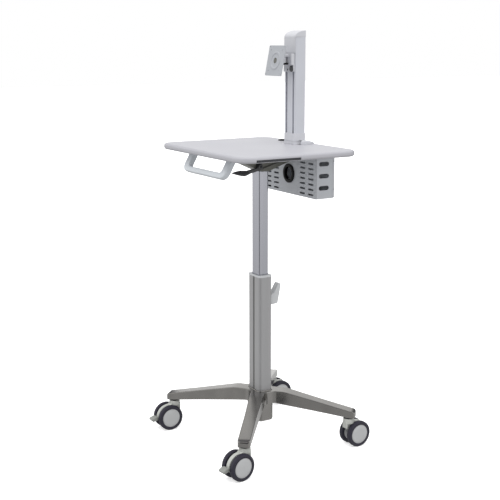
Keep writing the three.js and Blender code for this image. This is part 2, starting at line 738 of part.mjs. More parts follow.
// Upright pivot between the carriage's lugs, with two cheeks that hold the tilt head.
function panBracket() {
  const { panY } = MOUNT;
  const barrel = alongZ(circle(0, panY, 9, 16), 1432.4, 1453.6);
  const trunnion = alongZ(circle(0, panY, 4, 16), 1425, 1463);
  const [tiltY, tiltZ] = TILT_AXIS;
  const rear = panY - 2;
  const [low, high] = [tiltZ - 3.5, tiltZ + 12];
  const cheekOutline = [...arc(tiltY, tiltZ, 7.5, 90, 270, 8), [rear, low], [rear, high]];
  const cheek = alongX(cheekOutline, 12, 16);
  const bridge = box(-15, 15, panY - 7.5, rear, low, high);
  const bore = alongX(circle(tiltY, tiltZ, 3.4, 12), -20, 20);
  const solid = join(barrel, trunnion, bothSides(cheek), bridge);
  return cut(solid, bore);
}

// The tilt head and plate are drawn square to the mast and turned back about the tilt axis.
const tiltBack = (solid) => {
  const [tiltY, tiltZ] = TILT_AXIS;
  return solid.translate([0, -tiltY, -tiltZ]).rotate([-MOUNT.tilt, 0, 0]).translate([0, tiltY, tiltZ]);
};
const plateFront = TILT_AXIS[0] - tiltRadius;

function tiltHead() {
  const [tiltY, tiltZ] = TILT_AXIS;
  const rear = plateFront + 11;
  const outline = [...arc(tiltY, tiltZ, 6.5, 90, -90, 8), [rear, tiltZ - 9], [rear, tiltZ + 9]];
  const block = alongX(outline.reverse(), -11.4, 11.4);
  const pin = alongX(circle(tiltY, tiltZ, 3, 12), -17.5, 17.5);
  const spigot = alongY(circle(0, tiltZ, 7, 16), plateFront + 1.5, rear + 0.1);
  return tiltBack(join(block, pin, spigot));
}

// Square plate with the 75 mm and 100 mm hole patterns and the hub it turns on.
function vesaPlate() {
  const tiltZ = TILT_AXIS[1];
  const { side, thickness } = MOUNT;
  const outline = roundedRect(side / 2, side / 2, 4, 2).map(([x, z]) => [x, z + tiltZ]);
  const sheet = alongY(outline, plateFront, plateFront + thickness);
  const hub = alongY(circle(0, tiltZ, 24, 20), plateFront + thickness - 0.1, plateFront + 10.6);
  const holes = [];
  for (const spacing of [75, 100]) {
    for (const x of [-spacing / 2, spacing / 2]) {
      for (const z of [-spacing / 2, spacing / 2]) {
        holes.push(alongY(circle(x, z + tiltZ, 2.3, 8), plateFront - 1, plateFront + thickness + 1));
      }
    }
  }
  const bore = alongY(circle(0, tiltZ, 7 + 0.5, 16), plateFront - 1, plateFront + 20);
  return tiltBack(cut(join(sheet, hub), bore, ...holes));
}

add("mount_carriage", mountCarriage(), FINISH.lightPlastic);
add("carriage_knob", carriageKnob(), FINISH.darkPlastic);
add("pan_bracket", panBracket(), FINISH.lightPlastic);
add("tilt_head", tiltHead(), FINISH.darkSteel);
add("vesa_plate", vesaPlate(), FINISH.silverPaint);

export default cart;
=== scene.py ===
"""Looks of a height-adjustable point-of-care cart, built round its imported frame.

Shapes are drawn in millimetres on the frame's own axes (+Z up, -Y towards the user) and turned
into metres when a piece is made. Places and sizes come from the boxes and joints of the frame.
"""
import json
import math

import bmesh
import bpy
from mathutils import Matrix, Vector
from mathutils.geometry import tessellate_polygon


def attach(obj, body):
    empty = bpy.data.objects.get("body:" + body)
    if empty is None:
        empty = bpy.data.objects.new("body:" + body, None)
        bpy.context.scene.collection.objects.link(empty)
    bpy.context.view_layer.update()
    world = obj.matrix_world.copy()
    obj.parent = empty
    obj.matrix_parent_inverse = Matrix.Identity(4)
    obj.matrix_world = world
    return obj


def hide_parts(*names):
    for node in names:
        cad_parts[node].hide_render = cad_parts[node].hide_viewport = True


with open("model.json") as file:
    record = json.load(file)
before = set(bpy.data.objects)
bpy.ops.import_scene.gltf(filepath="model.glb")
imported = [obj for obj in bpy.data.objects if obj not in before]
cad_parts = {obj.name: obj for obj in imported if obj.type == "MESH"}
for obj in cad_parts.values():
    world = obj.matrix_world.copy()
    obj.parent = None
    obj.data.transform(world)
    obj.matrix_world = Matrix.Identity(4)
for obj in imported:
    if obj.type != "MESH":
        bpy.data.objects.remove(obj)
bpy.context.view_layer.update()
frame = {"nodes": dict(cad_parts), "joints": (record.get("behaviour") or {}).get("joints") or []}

MM = 0.001
JOINTS = {joint["name"]: joint for joint in frame["joints"]}
CORNERS = ("front_left", "front_right", "rear_right", "rear_left")


# ---- Reading the frame


class Span:
    """The box round one or more CAD nodes, in millimetres, on the frame's axes or on given ones."""

    def __init__(self, *nodes, axes=Matrix()):
        points = [axes @ (v.co / MM) for n in nodes for v in frame["nodes"][n].data.vertices]
        self.x0, self.y0, self.z0 = (min(p[i] for p in points) for i in range(3))
        self.x1, self.y1, self.z1 = (max(p[i] for p in points) for i in range(3))
        self.x = (self.x0 + self.x1) / 2
        self.y = (self.y0 + self.y1) / 2
        self.z = (self.z0 + self.z1) / 2


def pivot(joint):
    """A joint's point in millimetres."""
    return Vector(JOINTS[joint]["pos_m"]) / MM


# ---- Outlines: lists of (u, v)


def arc(cu, cv, radius, start, end, steps):
    turns = [math.radians(start + (end - start) * i / steps) for i in range(steps + 1)]
    return [(cu + radius * math.cos(t), cv + radius * math.sin(t)) for t in turns]


def circle(cu, cv, radius, sides=48):
    return arc(cu, cv, radius, 0, 360 - 360 / sides, sides - 1)


def obround(cu, cv, half_length, half_width, steps=8):
    run = half_length - half_width
    right = arc(cu + run, cv, half_width, -90, 90, steps)
    return right + arc(cu - run, cv, half_width, 90, 270, steps)


def round_corner(before, at, after, radius, steps):
    """Points of the arc that rounds one corner of a polygon."""
    to_before, to_after = ((Vector(p) - Vector(at)).normalized() for p in (before, after))
    middle = (to_before + to_after).normalized()
    half = math.acos(max(-1, min(1, to_before.dot(middle))))
    centre = Vector(at) + middle * (radius / math.sin(half))
    first = Vector(at) + to_before * (radius / math.tan(half)) - centre
    last = Vector(at) + to_after * (radius / math.tan(half)) - centre
    start = math.atan2(first.y, first.x)
    turn = (math.atan2(last.y, last.x) - start + math.pi) % (2 * math.pi) - math.pi
    return arc(*centre, radius, math.degrees(start), math.degrees(start + turn), steps)


def filleted(corners, steps=6):
    """A polygon of (u, v, radius) with its corners rounded."""
    outline = []
    for i, (u, v, radius) in enumerate(corners):
        before, after = corners[i - 1][:2], corners[(i + 1) % len(corners)][:2]
        outline += round_corner(before, (u, v), after, radius, steps) if radius else [(u, v)]
    return outline


def rectangle(u0, u1, v0, v1, radius, steps=6):
    return filleted([(u0, v0, radius), (u1, v0, radius), (u1, v1, radius), (u0, v1, radius)], steps)


def around(span, grow, radius, steps=6):
    """The plan of a box, grown by a distance or shrunk by a negative one, with rounded corners."""
    sides = (span.x0 - grow, span.x1 + grow, span.y0 - grow, span.y1 + grow)
    return rectangle(*sides, radius, steps)


def is_ccw(outline):
    pairs = zip(outline, outline[1:] + outline[:1])
    return sum(a[0] * b[1] - b[0] * a[1] for a, b in pairs) > 0


def inset(outline, distance):
    """A counterclockwise outline moved inwards, with mitred corners."""
    moved = []
    for i, at in enumerate(outline):
        before, after = Vector(outline[i - 1]), Vector(outline[(i + 1) % len(outline)])
        into, out = (Vector(at) - before).normalized(), (after - Vector(at)).normalized()
        first, second = Vector((-into.y, into.x)), Vector((-out.y, out.x))
        shift = (first + second) * (distance / max(0.3, 1 + first.dot(second)))
        moved.append((at[0] + shift.x, at[1] + shift.y))
    return moved


# ---- Closed surfaces: (points, faces)

AXES = {
    "z": lambda u, v, w: (u, v, w),  # an outline in (x, y), built up along Z
    "x": lambda u, v, w: (w, u, v),  # an outline in (y, z), built up along X
    "y": lambda u, v, w: (u, w, v),  # an outline in (x, z), built up along Y
}


def bridge(faces, lower, upper, count):
    """Quads between two rings of points that start at those numbers."""
    for i in range(count):
        j = (i + 1) % count
        faces.append((lower + i, lower + j, upper + j, upper + i))


def layers_of(low, high, low_edge, high_edge, steps):
    """(height, inset) of each ring of a plate whose edges are rounded."""

    def rounded(face, edge, inwards):
        rings = []
        for t in (math.pi / 2 * i / steps for i in range(steps + 1)):
            rings.append((face + inwards * edge * (1 - math.sin(t)), edge * (1 - math.cos(t))))
        return rings

    below = rounded(low, low_edge, 1)[::-1] if low_edge else [(low, 0)]
    return below + (rounded(high, high_edge, -1) if high_edge else [(high, 0)])


def filled(numbers, loops):
    """Triangles between flat loops of (u, v), given the number of each of their points."""
    flat = [[Vector((*p, 0)) for p in loop] for loop in loops]
    return [tuple(numbers[i] for i in triangle) for triangle in tessellate_polygon(flat)]


def plate(outer, holes=(), low=0.0, high=1.0, edge=0.0, axis="z", steps=3, low_edge=None):
    """A flat plate with holes, its edges rounded by edge, or by low_edge on the low side."""
    loops = [outer if is_ccw(outer) else outer[::-1]]
    loops += [hole[::-1] if is_ccw(hole) else hole for hole in holes]
    layers = layers_of(low, high, edge if low_edge is None else low_edge, edge, steps)
    points, faces, rings = [], [], []
    for height, shrink in layers:
        rings.append([])
        for loop in loops:
            rings[-1].append(len(points))
            moved = inset(loop, shrink) if shrink else loop
            points += [Vector(AXES[axis](u, v, height)) for u, v in moved]
    for lower, upper in zip(rings, rings[1:]):
        for loop, a, b in zip(loops, lower, upper):
            bridge(faces, a, b, len(loop))
    for (_, shrink), starts in ((layers[0], rings[0]), (layers[-1], rings[-1])):
        numbers = [start + i for loop, start in zip(loops, starts) for i in range(len(loop))]
        faces += filled(numbers, [inset(loop, shrink) if shrink else loop for loop in loops])
    return points, faces


def block(x0, x1, y0, y1, z0, z1, edge=0.6, corner=None):
    """A box with rounded edges."""
    corner = edge if corner is None else corner
    return plate(rectangle(x0, x1, y0, y1, max(corner, 0.01), 4), (), z0, z1, edge)


def turned(profile, sides=64, axis="z", at=(0, 0, 0)):
    """A closed or axis-to-axis profile of (radius, height), turned about a line through a point."""
    points, faces, rings = [], [], []
    for radius, height in profile:
        rings.append((len(points), radius > 0))
        loop = circle(0, 0, radius, sides) if radius else [(0, 0)]
        points += [Vector(AXES[axis](u, v, height)) + Vector(at) for u, v in loop]
    closed = profile[0][0] > 0 and profile[-1][0] > 0
    for (a, wide_a), (b, wide_b) in zip(rings, rings[1:] + (rings[:1] if closed else [])):
        if wide_a and wide_b:
            bridge(faces, a, b, sides)
        elif wide_a or wide_b:
            ring, tip = (a, b) if wide_a else (b, a)
            faces += [(ring + i, ring + (i + 1) % sides, tip) for i in range(sides)]
    return points, faces


def loft(loops):
    """A skin over loops of 3-D points, closed at both ends."""
    points, faces, count = [], [], len(loops[0])
    for loop in loops:
        points += [Vector(p) for p in loop]
    for i in range(len(loops) - 1):
        bridge(faces, i * count, (i + 1) * count, count)
    faces += [tuple(range(count)), tuple(range(len(points) - count, len(points)))]
    return points, faces


def tube(path, radius, sides=12):
    """A round bar along a path of 3-D points."""
    loops, side = [], None
    for i, at in enumerate(path):
        along = (Vector(path[min(i + 1, len(path) - 1)]) - Vector(path[max(i - 1, 0)])).normalized()
        side = along.orthogonal() if side is None else side - along * side.dot(along)
        side.normalize()
        other = along.cross(side)
        loops.append([Vector(at) + side * u + other * v for u, v in circle(0, 0, radius, sides)])
    return loft(loops)


def moved(part, matrix):
    points, faces = part
    return [matrix @ p for p in points], faces


def mirrored(part):
    return moved(part, Matrix.Scale(-1, 4, (1, 0, 0)))


def both_sides(*parts):
    return [*parts, *(mirrored(part) for part in parts)]


def facing(direction, at):
    """A matrix that turns +Z to a direction and moves the origin to a point."""
    turn = Vector(direction).to_track_quat("Z", "Y").to_matrix().to_4x4()
    return Matrix.Translation(Vector(at)) @ turn


def cylinder(radius, low, high, sides=32, axis="z", at=(0, 0, 0)):
    """A plain cylinder from one height to another."""
    return turned([(0, low), (radius, low), (radius, high), (0, high)], sides, axis, at)


def screw(direction, at, radius=3.0, height=1.6):
    """A button-head screw with a hexagonal socket."""
    socket = circle(0, 0, radius * 0.48, 6)
    head = plate(circle(0, 0, radius, 24), [socket], 0, height, height * 0.55, low_edge=0)
    floor = plate(circle(0, 0, radius * 0.7, 12), (), 0, height * 0.35)
    place = facing(direction, at)
    return [moved(head, place), moved(floor, place)]


# ---- Pieces


def mesh_of(name, parts):
    """One mesh in metres from closed surfaces in millimetres, faces outwards."""
    shape = bmesh.new()
    for points, faces in parts:
        vertices = [shape.verts.new(p * MM) for p in points]
        for face in faces:
            shape.faces.new([vertices[i] for i in face])
    bmesh.ops.recalc_face_normals(shape, faces=shape.faces)
    mesh = bpy.data.meshes.new(name)
    shape.to_mesh(mesh)
    shape.free()
    return mesh


def add_object(name, data):
    made = bpy.data.objects.new(name, data)
    bpy.context.scene.collection.objects.link(made)
    return made


def carved(name, part, tools):
    """A surface with others cut from it."""
    body = add_object(f"{name}_body", mesh_of(name, [part]))
    cutter = add_object(f"{name}_cutter", mesh_of(name, tools))
    boolean = body.modifiers.new("cut", "BOOLEAN")
    boolean.object, boolean.operation, boolean.solver = cutter, "DIFFERENCE", "EXACT"
    current = bpy.context.evaluated_depsgraph_get()
    result = bpy.data.meshes.new_from_object(body.evaluated_get(current))
    points = [v.co / MM for v in result.vertices]
    faces = [tuple(f.vertices) for f in result.polygons]
    bpy.data.objects.remove(body)
    bpy.data.objects.remove(cutter)
    return points, faces


def piece(name, body, material, parts, stands_for=(), smooth=32):
    """A visible piece that rides on a body and may stand for CAD nodes."""
    mesh = mesh_of(name, parts)
    mesh.materials.append(material)
    mesh.shade_smooth()
    mesh.set_sharp_from_angle(angle=math.radians(smooth))
    made = add_object(name, mesh)
    made.modifiers.new("normals", "WEIGHTED_NORMAL").keep_sharp = True
    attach(made, body)
    if stands_for:
        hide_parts(*stands_for)


# ---- Materials


def tone(*rgb):
    """A colour given as 0 to 255 display values, as linear light."""
    shares = [c / 255 for c in rgb]
    return (*(s / 12.92 if s <= 0.04 else ((s + 0.055) / 1.055) ** 2.4 for s in shares), 1)


class Nodes:
    """Short names for building the nodes of a material or a world."""

    def __init__(self, owner, shader="Principled BSDF"):
        owner.use_nodes = True
        self.tree = owner.node_tree
        self.shader = self.tree.nodes[shader]

    def add(self, kind, inputs=(), **settings):
        node = self.tree.nodes.new(f"ShaderNode{kind}")
        for key, value in settings.items():
            setattr(node, key, value)
        for key, value in dict(inputs).items():
            if isinstance(value, bpy.types.NodeSocket):
                self.tree.links.new(value, node.inputs[key])
            else:
                node.inputs[key].default_value = value
        return node

    def noise(self, scale, detail=3.0, stretch=(1, 1, 1)):
        """Noise in object space, in features per metre, drawn out along an axis by stretch."""
        coordinates = self.add("TexCoord").outputs["Object"]
        spread = self.add("Mapping", {"Vector": coordinates, "Scale": stretch}).outputs["Vector"]
        inputs = {"Vector": spread, "Scale": scale, "Detail": detail}
        return self.add("TexNoise", inputs).outputs["Fac"]

    def ranged(self, value, low, high, start=0.3, end=0.7):
        inputs = {"Value": value, "From Min": start, "From Max": end, "To Min": low, "To Max": high}
        return self.add("MapRange", inputs).outputs["Result"]

    def mix(self, factor, first, second):
        node = self.add("Mix", {"Factor": factor}, data_type="RGBA")
        for socket, value in ((node.inputs[6], first), (node.inputs[7], second)):
            if isinstance(value, bpy.types.NodeSocket):
                self.tree.links.new(value, socket)
            else:
                socket.default_value = value
        return node.outputs[2]

    def edges(self, radius):
        """1 on edges about that wide, in metres, and 0 on flat ground."""
        rounded = self.add("Bevel", {"Radius": radius}, samples=4).outputs["Normal"]
        normal = self.add("NewGeometry").outputs["Normal"]
        same = self.add("VectorMath", {0: rounded, 1: normal}, operation="DOT_PRODUCT")
        return self.ranged(same.outputs["Value"], 1.0, 0.0, 0.82, 0.985)

    def bump(self, height, distance, strength=1.0):
        inputs = {"Height": height, "Distance": distance, "Strength": strength}
        return self.add("Bump", inputs).outputs["Normal"]

    def link(self, value, socket):
        self.tree.links.new(value, self.shader.inputs[socket])


def scaled(colour, factor):
    return tuple(min(1.0, c * factor) for c in colour[:3]) + (1,)


def surface(
    name, slot, display, roughness, metallic=0.0, variation=0.05, patches=9.0, grain=900.0,
    depth=40, stretch=(1, 1, 1), edge=1.12, edge_width=0.0012, **sockets,
):
    """A finish with patches of tone, uneven gloss, a fine grain and edges lighter from wear and
    painted highlight.

    Its display colour is 0 to 255, patches and grain are features per metre, and depth is the
    grain's in micrometres.
    """
    colour = tone(*display)
    material = bpy.data.materials.new(name)
    material["slot"] = slot
    nodes = Nodes(material)
    nodes.shader.inputs["Metallic"].default_value = metallic
    for socket, value in sockets.items():
        nodes.shader.inputs[socket.replace("_", " ")].default_value = value
    patch = nodes.noise(patches, 4.0, stretch)
    fine = nodes.noise(grain, 2.0, stretch)
    darker, lighter = scaled(colour, 1 - variation), scaled(colour, 1 + variation)
    blotched = nodes.mix(nodes.ranged(patch, 0, 1), darker, lighter)
    speckle = nodes.ranged(fine, 0.0, variation)
    speckled = nodes.mix(speckle, blotched, scaled(colour, 0.6))
    # Edges lighter by the edge factor: partly rubbed wear, partly a painted highlight along them.
    worn_and_highlit = nodes.mix(nodes.edges(edge_width), speckled, scaled(colour, edge))
    nodes.link(worn_and_highlit, "Base Color")
    nodes.link(nodes.ranged(patch, roughness * 0.86, roughness * 1.16), "Roughness")
    nodes.link(nodes.bump(fine, depth * 1e-6), "Normal")
    return material


UPRIGHT = (1, 1, 0.02)  # grain drawn out along an extrusion that stands upright
CAST = surface(
    "polished_casting", "cast_aluminium", (156, 154, 151), 0.18, 1.0, 0.07, 14, 260, 60,
    # Brighter, wider edges: a painted highlight on the casting's polished edges.
    edge=1.35, edge_width=0.002,
)
ANODISED = (1.0, 0.05, 40, 700, 30, UPRIGHT, 1.1)  # what follows the roughness of both columns
INNER_COLUMN = surface(
    "bright_anodised_column", "anodised_column", (180, 181, 188), 0.16, *ANODISED,
)
OUTER_COLUMN = surface(
    "satin_anodised_column", "anodised_column", (190, 190, 191), 0.6, *ANODISED,
)
# Dark grey for the strip in the tube's front groove: painted shade down the groove.
GROOVE_PAINTED_SHADE = surface("groove_painted_shade", "dark_plastic", (104, 104, 103), 0.5, 0, 0.06, 20, 1200, 50)
BEZEL = surface("bezel_plastic", "light_plastic", (206, 208, 210), 0.45, grain=1400)
HOOK = surface("hook_plastic", "light_plastic", (210, 212, 214), 0.5, grain=1200)
DESK = surface(
    "worksurface_plastic", "worksurface_shell", (184, 184, 190), 0.42, 0, 0.025, 5, 1500, 30,
)
HANDLE = surface("handle_plastic", "handle_plastic", (214, 219, 224), 0.42, 0, 0.03, 8, 1300, 40)
SILVER = surface(
    "silver_powder_coat", "silver_paint", (198, 201, 206), 0.5, 0.15, 0.04, 12, 1600, 60,
)
PLATE_PAINT = surface(
    "plate_coating", "silver_paint", (181, 184, 189), 0.5, 0.15, 0.04, 14, 1500, 50,
)
MAST_PAINT = surface("mast_coating", "mast_paint", (204, 206, 213), 0.4, 0.15, 0.03, 10, 1500, 30)
MAST_PLASTIC = surface("mast_plastic", "mast_plastic", (205, 206, 211), 0.42, 0, 0.03, 10, 1400, 40)
YOKE_PAINT = surface("yoke_coating", "dark_paint", (112, 112, 106), 0.42, 0.4, 0.07, 16, 1200, 60)
LEVER_PLASTIC = surface("lever_plastic", "dark_plastic", (72, 72, 74), 0.42, 0, 0.08, 20, 1500, 60)
LINING_PLASTIC = surface(
    "lining_plastic", "black_plastic", (40, 40, 44), 0.45, 0, 0.1, 20, 1400, 50, edge=1.4,
)
BLACK_PLASTIC = surface(
    "black_plastic", "black_plastic", (14, 14, 16), 0.5, 0, 0.1, 20, 1400, 50,
    edge=1.3, Specular_IOR_Level=0.2,
)
TRAY_PLASTIC = surface(
    "tray_plastic", "tray_plastic", (52, 53, 58), 0.5, 0, 0.08, 16, 1200, 60, edge=1.4,
)
CASTER_PLASTIC = surface(
    "caster_plastic", "caster_plastic", (187, 189, 184), 0.45, 0, 0.04, 24, 1400, 50,
)
CAP_PLASTIC = surface("wheel_cap_plastic", "wheel_cap", (186, 187, 188), 0.4, 0, 0.04, 26, 1400, 40)
PEDAL_PLASTIC = surface(
    "pedal_plastic", "pedal_plastic", (142, 144, 140), 0.42, 0, 0.06, 30, 1400, 50,
)
RUBBER = surface("tyre_rubber", "tyre_rubber", (40, 38, 51), 0.6, 0, 0.14, 40, 1100, 100, edge=1.35)
STEEL = surface("zinc_plated_steel", "bright_steel", (182, 184, 188), 0.28, 1.0, 0.08, 60, 900, 50)
BLACK_STEEL = surface(
    "black_steel", "black_steel", (44, 44, 48), 0.4, 0.6, 0.1, 50, 900, 60, edge=1.8,
)


# ---- Casters: drawn with the swivel axis at the origin and the wheels trailing along +X


class Caster:
    """Where a caster stands, which way it points, and its sizes on its own axes."""

    def __init__(self, corner):
        wheel, swivel = pivot(f"{corner}_roll_a"), pivot(f"{corner}_swivel")
        along, across = wheel.x - swivel.x, wheel.y - swivel.y
        self.trail, self.radius = math.hypot(along, across), wheel.z
        foot = Matrix.Translation((swivel.x, swivel.y, 0))
        self.place = foot @ Matrix.Rotation(math.atan2(across, along), 4, "Z")
        own = self.place.inverted()
        self.tyre, self.hub, self.housing, self.stem = (
            Span(f"{corner}_{node}", axes=own) for node in ("tyre_a", "hub_a", "housing", "stem")
        )


def wheel_side(caster, profile, side, sides=72):
    """A profile of (radius, distance from the caster's middle), turned about the axle."""
    reach = [(radius, side * out) for radius, out in profile]
    return turned(reach, sides, "y", (caster.trail, 0, caster.radius))


TYRE_SHOULDER = (5.0, 6.0)  # rounding of a tyre's outer edge, towards the axle and along it


def tyre_parts(caster, side):
    inner, outer, rim = caster.tyre.y0, caster.tyre.y1, caster.radius
    hub = caster.hub.z1 - caster.radius + 0.4
    drop, run = TYRE_SHOULDER
    turns = [math.radians(a) for a in range(0, 91, 15)]
    shoulder = [(rim - drop * (1 - math.sin(t)), outer - run * (1 - math.cos(t))) for t in turns]
    profile = [(hub, outer - 1.6), (hub + 1.2, outer - 0.5), (hub + 3, outer), *shoulder]
    profile += [(rim, (inner + outer) / 2), *arc(rim - 4, inner + 4, 4, 0, -90, 5)]
    return [wheel_side(caster, [*profile, (hub, inner + 0.6)], side)]


AXLE_BORE = 4.5


def hub_parts(caster, side):
    """Wheel body with a flush cap: a thin step round a slightly domed disc."""
    inner, outer, radius = caster.hub.y0, caster.hub.y1, caster.hub.z1 - caster.radius
    profile = [
        (0, outer), (radius * 0.35, outer - 0.1), (radius * 0.7, outer - 0.5),
        (radius - 4.2, outer - 1.3), (radius - 2.6, outer - 1.9), (radius - 1.9, outer - 2.9),
        (radius - 1.2, outer - 1.9), (radius, outer - 2.2), (radius, inner + 1),
        (radius - 1, inner), (AXLE_BORE + 4, inner),
        (AXLE_BORE + 3, inner - 0.1), (AXLE_BORE, inner), (AXLE_BORE, outer - 5), (0, outer - 5),
    ]
    return [wheel_side(caster, profile, side)]


STEM_BORE = 6.6
FENDER_SWEEP = (-8, 148)  # degrees about the axle, from its rear over the wheels to the front
FENDER_SHEET = 6.0
THROAT_HALF = 13.0


def housing_parts(caster):
    """Neck, fender between the wheels, web, axle boss, and the filled throat under the neck."""
    trail, radius, top = caster.trail, caster.radius, caster.housing.z1
    neck_radius = -caster.housing.x0
    half, fender = caster.tyre.y0 - 1.5, radius - 2.5
    neck = turned([
        (STEM_BORE, top), (STEM_BORE, 92), (neck_radius - 3, 92), (neck_radius - 0.5, 94),
        (neck_radius, 98), (neck_radius, top - 6), (neck_radius - 0.6, top - 2),
        (neck_radius - 2.2, top - 0.4), (neck_radius - 4, top),
    ])
    rear, front = FENDER_SWEEP
    rim = arc(trail, radius, fender, rear, front, 30)
    rim += arc(trail, radius, fender - FENDER_SHEET, front, rear, 30)
    arch = plate(rim, (), -half * 0.6, half * 0.6, 2.0, "y")
    web = arc(trail, radius, fender - FENDER_SHEET + 0.5, rear, front, 24)
    cheek = plate(web + arc(trail, radius, 12, 200, 300, 8), (), -4, 4, 0.8, "y")
    boss = turned(
        [(4.3, -half), (11, -half), (12, 1 - half), (12, half - 1), (11, half), (4.3, half)],
        36, "y", (trail, 0, radius),
    )
    saddle = [(4 - neck_radius, 103, 2), (6 - neck_radius, 90, 2), (4, 84, 2), (trail, 92, 2)]
    saddle = plate(filleted([*saddle, (neck_radius - 4, 103, 2)], 3), (), -half, half, 1.5, "y")
    chin = [(neck_radius - 8, 101, 0), (1 - neck_radius, 101, 0), (1 - neck_radius, 72, 3)]
    chin += [(u, v, 0) for u, v in arc(trail, radius, radius + 2, 152, 108, 10)]
    throat = plate(filleted(chin), (), -THROAT_HALF, THROAT_HALF, 3, "y")
    return [neck, arch, cheek, boss, saddle, throat]


PEDAL_HINGE = 34.0  # behind the axle


def pedal_parts(caster):
    """Butterfly toe plate on an arm from the hinge behind the axle."""
    hinge = caster.trail + PEDAL_HINGE
    half = caster.tyre.y0 - 3
    arm = [(-3, 44, 2), (2, 52, 3), (20, 56.5, 3), (20, 49, 2), (6, 38, 2), (-1, 38, 2)]
    toe = [(17, 58, 1.5), (29, 57, 3), (42, 51, 4), (42.5, 46, 3), (36, 40.5, 3), (17, 44, 2)]
    parts = []
    for outline, reach, edge in ((arm, half, 1.2), (toe, half + 3, 2.2)):
        outline = filleted([(hinge + u, v, radius) for u, v, radius in outline])
        parts.append(plate(outline, (), -reach, reach, edge, "y"))
    for i in range(4):
        rib = rectangle(hinge + 20 + 5 * i, hinge + 22 + 5 * i, -half, half, 0.9)
        parts.append(plate(rib, (), 55.5 - 1.2 * i, 58.2 - 1.4 * i, 0.5))
    return parts


def stem_parts(caster):
    low, high, radius = caster.stem.z0, caster.stem.z1, caster.stem.x1
    seat = caster.housing.z1 + 0.3
    ring = turned([
        (0, seat), (radius - 1.5, seat), (radius, seat + 0.8), (radius, seat + 2.2),
        (radius - 1, seat + 2.9), (0, seat + 2.9),
    ])
    pin = [(0, low), (5.2, low), (6, low + 1), (6, high - 1), (5, high), (0, high)]
    return [ring, turned(pin, 32)]


def build_caster(corner):
    caster = Caster(corner)
    pedal, swivel = f"{corner}_brake_pedal", f"{corner}_swivel"

    def put(name, body, material, parts, *nodes):
        placed = [moved(p, caster.place) for p in parts]
        piece(f"{corner}_{name}", body, material, placed, nodes)

    put("stem_and_ring", "base", BLACK_STEEL, stem_parts(caster), f"{corner}_stem")
    put("fork_housing", swivel, CASTER_PLASTIC, housing_parts(caster), f"{corner}_housing")
    for label, side in (("a", 1), ("b", -1)):
        wheel, tyre, hub = (f"{corner}_{part}_{label}" for part in ("wheel", "tyre", "hub"))
        put(f"rubber_{label}", wheel, RUBBER, tyre_parts(caster, side), tyre)
        put(f"wheel_disc_{label}", wheel, CAP_PLASTIC, hub_parts(caster, side), hub)
    if pedal in frame["nodes"]:
        put("toe_pedal", f"{corner}_brake", PEDAL_PLASTIC, pedal_parts(caster), pedal)


# ---- Base

base, pot, outer_tube = Span("base_casting"), Span("hub_pot"), Span("outer_column")
LEG_TOP, LEG_FOOT, HUB_UNDER = base.z1, base.z0 + 1.0, pot.z1 + 0.3
LEG_HALF, LEG_WALL = 22.5, 5.0
HUB_FLARE, FLARE_LENGTH = 4.5, 150.0  # how much a leg widens towards the hub
LEG_BEND = (84.0, 112.0)  # where a leg turns from the flat hub to its slope
LEG_TIP_TOP, FOOT_LENGTH = 144.0, 14.0  # height of its top that far beyond the swivel axis
NOSE_START, NOSE_END, NOSE_CURVE = 5.0, 12.0, 0.13  # past that point the top curves down
UNDER_START, UNDER_END = 60.0, 8.0  # the underside slopes from here to this far past the swivel
TIP_CORNER, HUB_ROUND = 9.0, 34.0
TOP_EDGE = 2.5
HUB_SIDES = ((1, -47), (0, 60), (1, 47), (0, -60))  # (axis, place) of the hub's side after each leg
TUBE_CORNER, TUBE_WALL, TUBE_GAP = 11.0, 2.6, 0.3
TUBE_GROOVE = (5.2, 2.3)  # half width and depth of the groove down the outer tube
CUP_FLOOR = 6.0
RIM_WIDTH, RIM_HEIGHT = 4.5, 2.4


class Leg:
    """One leg of the base: its direction, and its width and heights at distances along it."""

    def __init__(self, corner):
        at = pivot(f"{corner}_swivel")
        self.reach = math.hypot(at.x, at.y)
        self.angle = math.atan2(at.y, at.x)
        self.along = Vector((at.x, at.y)) / self.reach
        self.across = Vector((-self.along.y, self.along.x))
        self.tip = self.reach + FOOT_LENGTH + NOSE_END

    def at(self, reach, side):
        return tuple(self.along * reach + self.across * side)

    def half(self, reach):
        return LEG_HALF + HUB_FLARE * max(0.0, 1 - (reach - LEG_BEND[0]) / FLARE_LENGTH)

    def stations(self):
        """Distances along the leg where its sides have points, close together in the bend."""
        bend = [LEG_BEND[0] + (LEG_BEND[1] - LEG_BEND[0]) * i / 6 for i in range(7)]
        run = self.tip - 2 * TIP_CORNER - LEG_BEND[1]
        return bend + [LEG_BEND[1] + run * i / 5 for i in range(1, 6)]

    def top(self, reach):
        start, end = LEG_BEND
        slope = (LEG_TIP_TOP - LEG_TOP) / (self.reach + FOOT_LENGTH - (start + end) / 2)
        if reach <= start:
            return LEG_TOP
        if reach < end:
            return LEG_TOP + slope * (reach - start) ** 2 / (2 * (end - start))
        height = LEG_TOP + slope * (reach - (start + end) / 2)
        nose = max(0.0, reach - (self.reach + FOOT_LENGTH + NOSE_START))
        return height - nose * nose * NOSE_CURVE

    def under(self, reach):
        slope = (LEG_FOOT - HUB_UNDER) / (self.reach + UNDER_END - UNDER_START)
        return max(LEG_FOOT, HUB_UNDER + slope * max(0.0, reach - UNDER_START))


